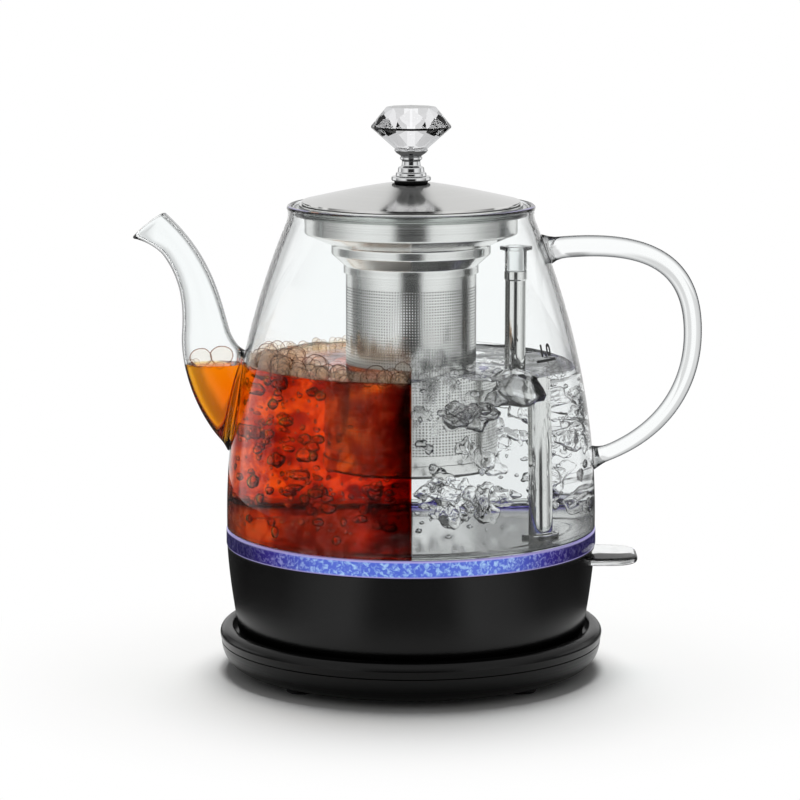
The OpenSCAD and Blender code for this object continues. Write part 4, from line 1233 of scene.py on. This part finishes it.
@dataclass
class SteamTube:
    """Steel tube that leads steam down to the switch, with its clear cap."""

    place: tuple[float, float] = (40.0, -8.0)
    # Radius, height and rounding of each corner
    tube: tuple = (
        (3.3, 41.0, 0), (4.0, 41.0, 0), (4.0, 55.5, 0), (6.2, 55.5, 0.1), (6.2, 57.0, 0.5), (4.0, 57.0, 0.4),
        (4.0, 153.9, 0.3), (4.35, 154.4, 0.3), (4.35, 157.5, 0.25), (3.65, 157.5, 0.2), (3.65, 154.6, 0.3),
        (3.3, 154.0, 0.3),
    )
    cap: tuple = (
        (3.2, 157.6, 0.2), (4.15, 157.6, 0.2), (4.15, 165.6, 0.4), (6.05, 165.6, 0.3), (6.05, 167.0, 0.4),
        (3.2, 167.0, 0.3),
    )

    def build(self) -> None:
        """Make the tube and its cap."""
        made = raw_object("steam_tube_drawn", lathe(rounded(self.tube), 64, self.place), 30)
        seat(made, DRAWN_STEEL, Body.KETTLE, ["steam_tube"])
        made = raw_object("steam_tube_cap_moulded", lathe(rounded(self.cap), 64, self.place), 40)
        seat(made, ACRYLIC, Body.KETTLE, ["steam_tube_cap"])


@dataclass
class HeaterFloor:
    """Steel floor of the jug, with one pressed ring and an edge turned down."""

    # Radius, height and rounding of each corner
    plate: tuple = (
        (0, 55.5, 0), (46.0, 55.5, 0.5), (47.0, 55.1, 0.5), (50.0, 55.1, 0.5), (51.0, 55.5, 0.5),
        (68.6, 55.5, 0.6), (68.6, 53.0, 0), (67.8, 53.0, 0), (67.8, 54.5, 0), (0, 54.5, 0),
    )

    def build(self) -> None:
        """Make the floor."""
        plate = rounded(self.plate, closed=False)
        made = raw_object("heater_plate_pressed", lathe(plate[::-1], 192), 30)
        seat(made, SPUN_STEEL, Body.KETTLE, ["heater_plate"])


@dataclass
class KettleBase:
    """Moulded shell under the jug and its glowing ring."""

    foot: tuple = ((67.4, 15.3), (71.2, 36.1), (71.8, 50.0))
    wall: float = 2.4
    slot_w: float = 31.2
    slot_z: tuple[float, float] = (42.4, 49.1)
    slot_x: tuple[float, float] = (60.0, 80.0)
    slot_bend: float = 1.4
    # Radius, height and rounding of each corner
    ring: tuple = (
        (65.0, 50.0, 0), (72.1, 50.0, 0.8), (72.1, 56.5, 0.8), (69.0, 56.5, 0.3), (69.0, 53.0, 0),
        (65.0, 53.0, 0),
    )

    def build(self) -> None:
        """Make the shell with the lever's slot, and the ring."""
        line = [(67.0, 15.3), (67.4, 15.7)] + run(self.foot, 40)[2:-1] + [(71.75, 49.7), (71.5, 50.0)]
        inner = behind(run(self.foot, 40), self.wall)
        inner[0] = (69.4, 50.0)
        inner[-1] = (65.0, 15.3)
        made = raw_object("base_shell_moulded", lathe(line + inner, 192), 30)
        half = self.slot_w / 2
        low, high = self.slot_z
        corners = ((-half, low), (half, low), (half, high), (-half, high))
        shape = rounded([(y, z, self.slot_bend) for y, z in corners])
        rings = [[(x, y, z) for y, z in shape] for x in self.slot_x]
        carve(made, raw_object("slot_tool", loft(rings, False)), "DIFFERENCE", 30)
        seat(made, SHELL_PLASTIC, Body.KETTLE, ["base_shell"])
        made = raw_object("light_ring_moulded", lathe(rounded(self.ring), 192), 50)
        seat(made, RING_GLOW, Body.KETTLE, ["light_ring"])


@dataclass
class SwitchLever:
    """Clear thumb lever that stands out of the shell's slot."""

    x_low: float = 59.3
    x_high: float = 88.4
    width: float = 30.0
    z_low: float = 43.0
    z_high: float = 46.0
    tip: float = 14.5
    tongue: float = 16.0
    tongue_x: float = 66.5
    edge: float = 1.3

    def build(self) -> None:
        """Extrude the paddle and roll its edges."""
        half = self.width / 2
        narrow = self.tongue / 2
        outline = rounded(
            [
                (self.x_low, -narrow, 0),
                (self.tongue_x, -narrow, 1.0),
                (self.tongue_x, -half, 1.5),
                (self.x_high, -half, self.tip),
                (self.x_high, half, self.tip),
                (self.tongue_x, half, 1.5),
                (self.tongue_x, narrow, 1.0),
                (self.x_low, narrow, 0),
            ],
            steps=10,
        )
        middle = np.mean(outline, axis=0)
        rings = []
        for a in np.linspace(-math.pi / 2, math.pi / 2, 11):
            inset = self.edge * (1 - math.cos(a))
            flat = (self.z_high - self.z_low) / 2 - self.edge
            z = (self.z_low + self.z_high) / 2 + self.edge * math.sin(a) + math.copysign(flat, a)
            sides = [(math.copysign(inset, x - middle[0]), math.copysign(inset, y)) for x, y in outline]
            rings.append([(x - dx, y - dy, z) for (x, y), (dx, dy) in zip(outline, sides)])
        made = raw_object("switch_lever_moulded", loft(rings, False), 50)
        seat(made, ACRYLIC, Body.SWITCH, ["switch_lever"])


@dataclass
class Brew:
    """Tea in the spout's half of the jug, boiling water in the handle's half, and their bubbles."""

    level: float = 121.0
    floor_z: float = 54.9
    floor_r: float = 68.4
    wall_low: float = 57.0
    overlap: float = 0.2
    parting: float = 0.02
    columns: int = 120
    rings: int = 56
    seed: int = 11
    # What bubbles keep clear of: the basket's side and underside, and the steam tube
    basket_r: float = 26.2
    basket_low: float = 79.5
    tube: tuple[float, float] = SteamTube.place
    tube_r: float = 6.4
    gap: float = 0.6
    before_tube: float = 8.0
    # How far out and how low bubbles may lie, and how far under the surface they stay
    spread: float = 66.0
    lowest: float = 58.0
    under: float = 2.5
    # Number, radii and stretch of what is strewn
    wisps: tuple = (60, (2.0, 7.0), 0.35)
    tea_bubbles: tuple = (380, (0.5, 2.7), 0.25)
    water_bubbles: tuple = (170, (0.5, 2.2), 0.3)
    hot_plumes: tuple = (80, (2.5, 9.0), 0.3)
    # Place, radius and stretch of one large bubble
    great_bubble: tuple = ((38.5, -39.5, 116.0), 9.0, (1.15, 0.75, 0.8))
    # Number, turns in degrees and radii of the bubbles by the glass
    wall_bubbles: tuple = (16, (-88, -58), (1.6, 4.2))
    # Number and turns of the tea's foam at the front and at the back, its radii, and where it heaps up
    tea_foam: tuple = ((145, (182, 268)), (45, (95, 182)))
    tea_foam_r: tuple[float, float] = (0.9, 2.0)
    heap: float = 205.0
    water_foam: tuple = (26, (-86, 20), (0.8, 2.2))
    # Half width, depth and height of the space before the basket, and the share of bubbles left out there
    thinned: tuple[float, float, float, float] = (30.0, -24.0, 76.0, 0.7)
    # Length, seed and height of the boiling's waves
    waves: tuple = ((13.0, 3.1, 0.9), (6.0, 7.7, 0.35))
    # How rough the tea is, and the water at the front and how much less at the back; the water lies lower
    tea_rough: float = 0.35
    water_rough: tuple[float, float] = (1.8, 1.4)
    water_drop: float = 1.0
    calm_y: float = 35.0
    # How high the liquid creeps up the glass, and over what width
    creep: tuple[float, float] = (0.9, 1.2)
    # Height, place and spread of what the boiling heaves up at the front
    heaves: tuple = ((4.0, 12.0, -56.0, 10.0), (3.0, 38.0, -44.0, 6.0))
    # Stronger tea, partly painted shade: how deep and wide its curtain is,
    # and how deep and high its layer on the floor
    curtain: tuple[float, float] = (42.0, 22.0)
    layer: tuple[float, float] = (6.0, 9.0)
    # Height of the clear seam through it, and how high that is
    seam: tuple[float, float] = (85.0, 2.6)
    # Radius round the basket that it stays out of, and the height from which it does
    curtain_r: float = 27.0
    curtain_low: float = 78.0
    spout_sides: int = 64
    # Place and radius of the bubbles that stand in the spout
    spout_foam: tuple = (
        (-81.5, -1.5, 123.0, 4.3),
        (-73.6, 0.5, 123.4, 4.6),
        (-85.6, 0.5, 120.6, 1.8),
        (-77.8, -4.0, 120.6, 1.6),
        (-80.5, -6.0, 120.2, 1.2),
        (-74.0, -5.5, 120.4, 1.7),
        (-83.8, 3.5, 120.6, 1.5),
    )

    def __post_init__(self) -> None:
        """Start the seeded random numbers."""
        self.random = random.Random(self.seed)

    def build(self, glass: GlassBody) -> None:
        """Pour both liquids, fill the spout's foot and blow the bubbles.

        Args:
            glass: The glasses, for the spout's bore.
        """
        for name, side, finish in (("brew_tea", -1.0, TEA), ("brew_water", 1.0, WATER)):
            made = seat(raw_object(name, self.half(side), 40), finish, Body.KETTLE)
            made.visible_shadow = False
            made.data.materials.append(PARTING.material())
            made.data.polygons[-1].material_index = 1
        # The strong tea's curtain and floor layer are partly painted shade; its wisps are denser drifts strewn
        # at random
        wisps = self.blobs(self.scatter(-1.0, *self.wisps), 1.0, 3)
        made = raw_object("brew_strong_tea_and_painted_shade", merged(self.plume(), wisps), 60)
        seat(made, STRONG_TEA_AND_SHADE, Body.KETTLE).visible_shadow = False
        self.spout_tea(glass)
        self.bubbles()
        self.foam()

    def surface(self, x: float, y: float) -> float:
        """Height of the boiling surface at a place."""
        rough = sum(noise.noise(Vector((x / size, y / size, n))) * high for size, n, high in self.waves)
        off = JUG.inner_at(self.level) - math.hypot(x, y)
        creep = self.creep[0] * math.exp(-max(off, 0) / self.creep[1])
        if x < 0:
            return self.level + self.tea_rough * rough + creep
        calm = min(max((y + self.calm_y) / self.calm_y, 0.0), 1.0)
        front, less = self.water_rough
        z = self.level - self.water_drop + (front - less * calm) * rough
        for high, at_x, at_y, spread in self.heaves:
            z += high * math.exp(-((x - at_x) ** 2 + (y - at_y) ** 2) / (2 * spread**2))
        return z + creep

    def wall_r(self, z: float) -> float:
        """Radius of the liquid at a height: a hair into the glass, so that no air shows between them."""
        return JUG.inner_at(z) + self.overlap

    def half(self, side: float) -> Mesh:
        """Make one half of the liquid as a closed body.

        Args:
            side: -1 for the spout's half, 1 for the handle's.

        Returns:
            Points and faces.
        """
        first = math.pi / 2 if side < 0 else -math.pi / 2
        shift = self.parting * side
        inward = side * self.parting / 2
        points: list = []
        rows = []
        for i in range(self.columns + 1):
            a = first + math.pi * i / self.columns
            ca, sa = math.cos(a), math.sin(a)
            if i in (0, self.columns):
                ca = 0.0
            top_r = self.wall_r(self.level)
            top_z = self.surface(top_r * ca + inward, top_r * sa)
            line = [(self.floor_r * k / 10, self.floor_z) for k in range(1, 11)]
            line += [(self.wall_r(z), z) for z in np.linspace(self.wall_low, top_z - 0.4, 48)]
            rim = self.wall_r(top_z)
            for k in range(self.rings):
                r = rim * (1 - k / self.rings)
                line.append((r, self.surface(r * ca + inward, r * sa)))
            rows.append([len(points) + k for k in range(len(line))])
            points += [(r * ca + shift, r * sa, z) for r, z in line]
        low = len(points)
        points += [(shift, 0.0, self.floor_z), (shift, 0.0, self.surface(inward, 0.0))]
        faces: list = []
        for a, b in zip(rows, rows[1:]):
            faces += [(a[k], b[k], b[k + 1], a[k + 1]) for k in range(len(a) - 1)]
            faces += [(low, b[0], a[0]), (a[-1], b[-1], low + 1)]
        faces.append(tuple(rows[0][::-1] + [low] + rows[-1] + [low + 1]))
        return points, faces

    def plume(self) -> Mesh:
        """Make the stronger tea, partly painted shade: a curtain thicker towards the middle, over a floor
        layer.

        Returns:
            Points and faces.
        """
        deepest, wide = self.curtain
        layer, layer_high = self.layer
        seam_z, seam_high = self.seam
        rings = []
        for z in np.linspace(self.wall_low, self.level - 3.5, 44):
            front = []
            back = []
            for x in np.linspace(-50.0, -0.5, 34):
                near = -math.sqrt((self.wall_r(z) - 1.2) ** 2 - x**2)
                deep = deepest * max(0.0, 1 + x / wide) ** 1.6
                deep += layer * math.exp(-(z - self.wall_low) / layer_high)
                deep *= 1 + 0.5 * noise.noise(Vector((x / 9, z / 9, 1.7)))
                deep *= 1 - 0.9 * math.exp(-(((z - seam_z) / seam_high) ** 2))
                far = near + max(deep, 0.3)
                if z > self.curtain_low and abs(x) < self.curtain_r:
                    far = min(far, -math.sqrt(self.curtain_r**2 - x**2))
                front.append((float(x), near, float(z)))
                back.append((float(x), max(far, near + 0.3), float(z)))
            rings.append(front + back[::-1])
        return loft(rings, False)

    def spout_tea(self, glass: GlassBody) -> None:
        """Fill the spout's foot up to the level, outside the jug's wall.

        Args:
            glass: The glasses, for the spout's bore.
        """
        inset = glass.spout_wall - self.overlap
        turns = [math.pi - 2 * math.pi * j / self.spout_sides for j in range(self.spout_sides)]
        places = np.linspace(0.02, 0.62, 70)
        rings = [[tuple(glass.spout_point(float(u), a, inset)) for a in turns] for u in places]
        made = raw_object("brew_spout_tea", loft(rings, False), 50)
        corners = ((-120, -40), (-40, -40), (-40, 40), (-120, 40))
        box = [[(x, y, z) for x, y in corners] for z in (60.0, self.level - 0.6)]
        carve(made, raw_object("level_tool", loft(box, False)), "INTERSECT", 30)
        jug = [(JUG.outer_at(z) + 0.2, float(z)) for z in np.linspace(60, 140, 60)]
        jug = [(0.0, 60.0)] + jug + [(0.0, 140.0)]
        carve(made, raw_object("jug_tool", lathe(jug, 192)), "DIFFERENCE", 30)
        seat(made, SPOUT_TEA, Body.KETTLE).visible_shadow = False

    def blobs(self, spots: Sequence[tuple], wobble: float, fine: int) -> Mesh:
        """Make round bodies.

        Args:
            spots: Place, radius and stretch of each body.
            wobble: How far boiling pulls them out of round, as a share of the radius.
            fine: How often the faces of an icosahedron are split.

        Returns:
            Points and faces.
        """
        ball = bmesh.new()
        bmesh.ops.create_icosphere(ball, subdivisions=fine, radius=1.0)
        ball.verts.ensure_lookup_table()
        unit = [v.co.copy() for v in ball.verts]
        skin = [tuple(v.index for v in f.verts) for f in ball.faces]
        ball.free()
        parts = []
        for n, (place, r, stretch) in enumerate(spots):
            shape = []
            for v in unit:
                pull = 1 + wobble * noise.noise(v * 1.3 + Vector((n * 3.7, n * 1.3, 0)))
                shape.append(tuple(place[k] + v[k] * r * stretch[k] * pull for k in range(3)))
            parts.append((shape, skin))
        return merged(*parts)

    def blow(self, name: str, spots: Sequence[tuple], wobble: float, fine: int, finish: Finish) -> None:
        """Seat a piece of round bodies; the numbers are those of blobs()."""
        seat(raw_object(name, self.blobs(spots, wobble, fine), 180), finish, Body.KETTLE)

    def scatter(self, side: float, count: int, sizes: tuple[float, float], flat: float) -> list:
        """Strew bubbles through one half, clear of the glass, the basket, the tube and each other.

        Args:
            side: -1 for the tea, 1 for the water.
            count: How many.
            sizes: Smallest and largest radius.
            flat: How far they may be stretched or flattened.

        Returns:
            Place, radius and stretch of each bubble.
        """
        found: list = []
        tube_x, tube_y = self.tube
        front_x, front_y, front_z, left_out = self.thinned
        for _ in range(count * 40):
            if len(found) == count:
                break
            r = sizes[0] * (sizes[1] / sizes[0]) ** (self.random.random() ** 1.8)
            x = side * self.random.uniform(r + self.gap, self.spread)
            y = self.random.uniform(-self.spread, self.spread)
            z = self.random.uniform(self.lowest + r, self.level - self.under - r)
            reach = r * (1 + flat) + self.gap
            off = math.hypot(x, y)
            in_basket = off < self.basket_r + reach and z > self.basket_low - reach
            at_tube = math.hypot(x - tube_x, y - tube_y) < self.tube_r + reach
            at_wall = off > min(self.wall_r(z - r), self.wall_r(z + r)) - reach
            in_front = abs(x) < front_x and y < front_y and z > front_z
            before_basket = in_front and self.random.random() < left_out
            before_tube = abs(x - tube_x) < self.before_tube + reach and y < tube_y
            if in_basket or at_tube or at_wall or before_basket or before_tube:
                continue
            if any(math.dist((x, y, z), p) < reach + q * (1 + flat) for p, q, _ in found):
                continue
            stretch = tuple(1 + self.random.uniform(-flat, flat) for _ in range(3))
            found.append(((x, y, z), r, stretch))
        return found

    def bubbles(self) -> None:
        """Blow the steam bubbles of both halves, and the hotter water's clouds."""
        self.blow("brew_tea_bubbles", self.scatter(-1.0, *self.tea_bubbles), 0.4, 2, BUBBLE)
        water = self.scatter(1.0, *self.water_bubbles) + [self.great_bubble]
        count, turns, radii = self.wall_bubbles
        for _ in range(count):
            a = math.radians(self.random.uniform(*turns))
            r = self.random.uniform(*radii)
            off = self.wall_r(114) - r - 2.5
            z = self.level - 3 - r - 9 * self.random.random()
            water.append(((off * math.cos(a), off * math.sin(a), z), r, (1.1, 0.8, 0.8)))
        self.blow("brew_water_bubbles", water, 0.45, 3, BUBBLE)
        self.blow("brew_hot_plumes", self.scatter(1.0, *self.hot_plumes), 0.7, 3, HOT_PLUME)

    def foam(self) -> None:
        """Float film bubbles along the tea's edge, in the spout and on the water."""
        rim = self.wall_r(self.level)
        tea = []
        for turns in [turns for count, turns in self.tea_foam for _ in range(count)]:
            a = math.radians(self.random.uniform(*turns))
            share = self.random.random() ** 2
            left = max(0.0, math.cos(math.radians(math.degrees(a) - self.heap)))
            r = self.random.uniform(*self.tea_foam_r) + 3.0 * left * self.random.random() ** 2
            off = rim - r - 0.3 - 16 * share
            x, y = off * math.cos(a), off * math.sin(a)
            z = self.surface(x, y) + r * self.random.uniform(0.1, 0.7) + 2.5 * left * self.random.random()
            tea.append(((x, y, z), r, (1, 1, 1)))
        tea += [((x, y, z), r, (1, 1, 0.85)) for x, y, z, r in self.spout_foam]
        self.blow("brew_tea_foam", tea, 0.08, 3, TEA_SKIN)
        water = []
        count, turns, radii = self.water_foam
        for _ in range(count):
            a = math.radians(self.random.uniform(*turns))
            r = self.random.uniform(*radii)
            off = rim - r - 0.4 - 14 * self.random.random() ** 2
            x, y = off * math.cos(a), off * math.sin(a)
            if x >= 1:
                water.append(((x, y, self.surface(x, y) + 0.3 * r), r, (1, 1, 0.9)))
        self.blow("brew_water_foam", water, 0.08, 3, WATER_SKIN)


@dataclass
class FillMark:
    """Fill line and its number, printed on the outside of the jug."""

    bar_z: float = 126.7
    bar_h: float = 1.0
    bar_w: float = 12.5
    middle_deg: float = 53.0
    number: str = "1.0"
    number_h: float = 4.4
    number_z: float = 2.2
    narrow: float = 0.9
    stroke: float = 0.32
    lift: float = 0.04
    steps: int = 24

    def laid(self, across: float, z: float) -> tuple[float, float, float]:
        """Lay a flat point on the round jug."""
        r = JUG.outer_at(z) + self.lift
        a = math.radians(self.middle_deg) + across / r
        return r * math.sin(a), -r * math.cos(a), z

    def build(self) -> None:
        """Print the line and the number."""
        points: list = []
        faces: list = []
        for i in range(self.steps + 1):
            across = self.bar_w * (i / self.steps - 0.5)
            points += [self.laid(across, self.bar_z), self.laid(across, self.bar_z + self.bar_h)]
            if i:
                faces.append((2 * i - 2, 2 * i, 2 * i + 1, 2 * i - 1))
        made = raw_object("fill_mark_line", (points, faces))
        seat(made, PRINT_ENAMEL, Body.KETTLE)
        words = bpy.data.curves.new("fill_mark_number", "FONT")
        words.body = self.number
        words.size = self.number_h * 1.35
        words.align_x = "CENTER"
        words.offset = self.stroke
        words.space_character = 1.1
        words.resolution_u = 6
        flat = placed("fill_mark_flat", words)
        graph = bpy.context.evaluated_depsgraph_get()
        data = bpy.data.meshes.new_from_object(flat.evaluated_get(graph))
        bpy.data.objects.remove(flat)
        bpy.data.curves.remove(words)
        for v in data.vertices:
            v.co = Vector(self.laid(v.co.x * self.narrow, self.bar_z + self.number_z + v.co.y)) * MM
        made = placed("fill_mark_number", data)
        seat(made, PRINT_ENAMEL, Body.KETTLE)


@dataclass
class Studio:
    """White sweep, a softbox overhead and a little behind, and a round wall in bands for metal and glass."""

    lens: float = 156.6
    eye: tuple[float, float, float] = (-0.00428, -1.3377, 0.3155)
    pitch: float = 81.1
    key_power: float = 16.5
    key_size: float = 0.7
    key_place: tuple[float, float, float] = (0.0, 0.32, 1.3)
    key_aim: tuple[float, float, float] = (0.0, 0.0, 0.05)
    fill: float = 0.2
    # Bands that metal mirrors: turn from the camera's side, as a share of half a turn, and brightness
    mirrored: tuple = (
        (0.0, 0.02), (0.12, 0.03), (0.19, 0.9), (0.3, 0.9), (0.4, 0.7), (0.52, 0.25), (0.72, 0.15),
        (0.81, 0.15), (0.88, 0.8),
    )
    # Bands that clear glass shows; those behind the kettle differ above the horizon and below it
    seen_front: tuple = (
        (0.0, 0.04), (0.07, 0.08), (0.125, 0.9), (0.25, 1.0), (0.36, 0.9), (0.48, 0.55), (0.6, 0.34),
    )
    seen_high: tuple = ((0.71, 0.3), (0.78, 0.8), (0.85, 0.85), (0.89, 0.4), (0.945, 0.4), (0.97, 1.0))
    seen_low: tuple = ((0.68, 0.3), (0.74, 0.9), (0.82, 0.9), (0.87, 0.45), (0.93, 0.45), (0.96, 1.0))
    low_rise: tuple[float, float] = (-0.03, -0.09)
    # What hangs over the wall, and the rise at which it takes over
    overhead: float = 0.8
    overhead_rise: tuple[float, float] = (0.22, 0.42)
    # Two patches of the wall: where their turn and their rise start, are full, are still full and end
    pane: tuple = ((0.535, 0.55, 0.73, 0.77), (-0.3, -0.25, 0.22, 0.3))
    flag: tuple = ((0.982, 0.995, 2.0, 2.1), (0.22, 0.34, 0.91, 0.97))
    # How bright the black flag is to metal, and to glass
    flag_mirrored: float = 0.01
    flag_seen: float = 0.03
    # How far the white sweep fills what is seen through one glass wall, and through the full jug
    thin_white: float = 0.5
    deep_white: float = 0.05
    # Between these numbers of walls the one passes into the other
    deep_walls: tuple[float, float] = (4.5, 6.5)
    # Between these turns, towards the camera, all becomes white
    ahead_turn: tuple[float, float] = (0.2, 0.1)
    # How far a second mirroring, as of the stem in the lid, darkens
    twice_dark: float = 0.8
    floor_r: float = 500.0
    floor_z: float = -0.1
    paper: str = "#F7F7F6"
    # Bands that the floor shows to the shell and the base
    floor_mirrored: tuple = ((0.0, 0.27), (0.1, 0.3), (0.17, 0.95), (0.27, 0.72), (0.4, 0.2), (0.6, 0.05))
    # Metres from the axis over which the paper turns white, and over which those bands set in
    white_from: tuple[float, float] = (0.09, 0.19)
    bands_from: tuple[float, float] = (0.1, 0.135)

    def build(self) -> None:
        """Set up the camera, the light and the floor."""
        self.camera()
        self.world()
        self.key()
        self.floor()
        shot = bpy.context.scene
        shot.view_settings.view_transform = "Standard"
        shot.cycles.max_bounces = 28
        shot.cycles.transmission_bounces = 28
        shot.cycles.glossy_bounces = 8
        shot.cycles.transparent_max_bounces = 48

    def camera(self) -> None:
        """Stand the camera where the photograph was taken."""
        data = bpy.data.cameras.new("camera")
        data.lens = self.lens
        data.sensor_width = 36.0
        data.clip_end = 50.0
        made = placed("camera", data)
        made.location = self.eye
        made.rotation_euler = (math.radians(self.pitch), 0.0, 0.0)
        bpy.context.scene.camera = made

    def around(self, tree: bpy.types.NodeTree, toward: bpy.types.NodeSocket) -> bpy.types.Node:
        """Work out how far a direction turns from the camera's side.

        Args:
            tree: Tree that gets the nodes.
            toward: A direction, or a place on the floor.

        Returns:
            The turn either way, as a share of half a turn.
        """
        parts = add_node(tree, "SeparateXYZ", {"Vector": toward}).outputs
        away = add_node(tree, "Math", {0: parts["Y"], 1: -1.0}, operation="MULTIPLY")
        turn = add_node(tree, "Math", {0: parts["X"], 1: away}, operation="ARCTAN2")
        either = add_node(tree, "Math", {0: turn}, operation="ABSOLUTE")
        return add_node(tree, "Math", {0: either, 1: math.pi}, operation="DIVIDE")

    def patch(self, tree: bpy.types.NodeTree, values: Sequence[Link], spans: Sequence[tuple]) -> Link:
        """Mark out a soft-edged patch of the studio's wall.

        Args:
            tree: Tree that gets the nodes.
            values: The turn and the rise of a direction.
            spans: For each, where the patch starts, is full, is still full and ends.

        Returns:
            1 inside the patch, 0 outside it.
        """
        inside: Link = 1.0
        for value, (start, full, last, end) in zip(values, spans):
            for outer, inner in ((start, full), (end, last)):
                edges = {"From Min": outer, "From Max": inner}
                side = add_node(tree, "MapRange", {"Value": value, **edges}, **SOFT)
                inside = add_node(tree, "Math", {0: inside, 1: side}, operation="MULTIPLY")
        return inside

    def whitened(self, tree: bpy.types.NodeTree, turn: Link, path: bpy.types.NodeOutputs) -> Link:
        """Work out how far the white sweep fills what is seen through glass.

        Args:
            tree: Tree that gets the nodes.
            turn: How far the direction turns from the camera's side.
            path: Outputs of the light path.

        Returns:
            The share of white.
        """
        start, full = self.deep_walls
        span = {"From Min": start, "From Max": full, "To Min": self.thin_white, "To Max": self.deep_white}
        haze = add_node(tree, "MapRange", {"Value": path["Transmission Depth"], **span})
        start, full = self.ahead_turn
        ahead = add_node(tree, "MapRange", {"Value": turn, "From Min": start, "From Max": full})
        haze = add_node(tree, "Math", {0: haze, 1: ahead}, operation="MAXIMUM")
        unmirrored = add_node(tree, "Math", {0: path["Glossy Depth"], 1: 0.5}, operation="LESS_THAN")
        return add_node(tree, "Math", {0: unmirrored, 1: haze}, operation="MULTIPLY")

    def world(self) -> None:
        """Hang the studio round the kettle: white to the camera, bands of light to metal and glass."""
        made = bpy.data.worlds.new("studio")
        tree = cleared(made)
        toward = add_node(tree, "TexCoord").outputs["Generated"]
        height = add_node(tree, "SeparateXYZ", {"Vector": toward}).outputs["Z"]
        path = add_node(tree, "LightPath").outputs
        turn = self.around(tree, toward)
        bands = []
        for stops in (self.mirrored, self.seen_front + self.seen_high, self.seen_front + self.seen_low):
            bands.append(add_node(tree, "ValToRGB", {"Fac": turn}))
            set_stops(bands[-1], stops)
        glossy, clear, low_clear = bands
        dip, rise = [
            add_node(tree, "MapRange", {"Value": height, "From Min": start, "From Max": full}, **SOFT)
            for start, full in (self.low_rise, self.overhead_rise)
        ]
        pane, flag = [self.patch(tree, (turn, height), spans) for spans in (self.pane, self.flag)]
        pale = self.whitened(tree, turn, path)
        span = {"From Min": 1.0, "From Max": 2.0, "To Max": self.twice_dark}
        again = add_node(tree, "MapRange", {"Value": path["Glossy Depth"], **span})
        white, black, above = grey(1.0), grey(0.0), grey(self.overhead)
        dark, dim = grey(self.flag_mirrored), grey(self.flag_seen)
        for share, colour in ((rise, above), (pane, white), (flag, dark), (again, black)):
            glossy = add_node(tree, "Mix", {"Factor": share, 6: glossy, 7: colour}, **COLOUR)
        for share, colour in ((dip, low_clear), (rise, above), (flag, dim), (pale, white), (again, black)):
            clear = add_node(tree, "Mix", {"Factor": share, 6: clear, 7: colour}, **COLOUR)
        shown: Link = grey(self.fill)
        for ray, colour in (("Glossy", glossy), ("Transmission", clear), ("Camera", white)):
            shown = add_node(tree, "Mix", {"Factor": path[f"Is {ray} Ray"], 6: shown, 7: colour}, **COLOUR)
        light = add_node(tree, "Background", {"Color": shown, "Strength": 1.0})
        add_node(tree, "OutputWorld", {"Surface": light})
        bpy.context.scene.world = made

    def key(self) -> None:
        """Hang the softbox overhead, a little behind, so that the shadow falls to the front."""
        data = bpy.data.lights.new("overhead_softbox", "AREA")
        data.shape = "DISK"
        data.size = self.key_size
        data.energy = self.key_power
        made = placed("overhead_softbox", data)
        made.location = self.key_place
        aim = Vector(self.key_aim) - made.location
        made.rotation_euler = aim.to_track_quat("-Z", "Y").to_euler()
        made.visible_glossy = False
        made.visible_transmission = False

    def floor(self) -> None:
        """Lay a pale paper sweep that keeps the shadow near the kettle and turns plain white far off."""
        made = raw_object("floor_sweep", lathe([(self.floor_r * k / 2, self.floor_z) for k in range(3)], 96))
        paper = bpy.data.materials.new("pale_paper_sweep")
        tree = cleared(paper)
        place = add_node(tree, "TexCoord").outputs["Object"]
        path = add_node(tree, "LightPath").outputs
        off = add_node(tree, "VectorMath", {0: place}, operation="LENGTH")
        far, near = [
            add_node(tree, "MapRange", {"Value": off, "From Min": start, "From Max": full}, **SOFT)
            for start, full in (self.white_from, self.bands_from)
        ]
        rays = {0: path["Is Camera Ray"], 1: path["Is Transmission Ray"]}
        straight = add_node(tree, "Math", rays, operation="MAXIMUM")
        white = add_node(tree, "Math", {0: far, 1: straight}, operation="MULTIPLY")
        other = add_node(tree, "Math", {0: 1.0, 1: straight}, operation="SUBTRACT")
        bounced = add_node(tree, "Math", {0: other, 1: path["Is Glossy Ray"]}, operation="MULTIPLY")
        glossy = add_node(tree, "Math", {0: near, 1: bounced}, operation="MULTIPLY")
        bands = add_node(tree, "ValToRGB", {"Fac": self.around(tree, place)})
        set_stops(bands, self.floor_mirrored)
        surface = add_node(tree, "BsdfDiffuse", {"Color": linear(self.paper)})
        for share, colour in ((white, grey(1.0)), (glossy, bands)):
            lit = add_node(tree, "Emission", {"Color": colour, "Strength": 1.0})
            surface = add_node(tree, "MixShader", {0: share, 1: surface, 2: lit})
        add_node(tree, "OutputMaterial", {"Surface": surface})
        made.data.materials.append(paper)


def dress_packed_nodes() -> None:
    """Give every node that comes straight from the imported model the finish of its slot."""
    for part in frame["record"]["subparts"]:
        node = frame["nodes"][part["node"]]
        node.data.materials.clear()
        node.data.materials.append(SLOT_FINISH[part["material_slot"]].material())


def main() -> None:
    """Build the kettle's pieces in order, then the studio."""
    logging.basicConfig(level=logging.INFO, format="%(name)s: %(message)s")
    dress_packed_nodes()
    glass = GlassBody()
    glass.build()
    Infuser().build()
    Lid().build()
    SteamTube().build()
    HeaterFloor().build()
    KettleBase().build()
    SwitchLever().build()
    Brew().build(glass)
    FillMark().build()
    Studio().build()


if __name__ == "__main__":
    main()
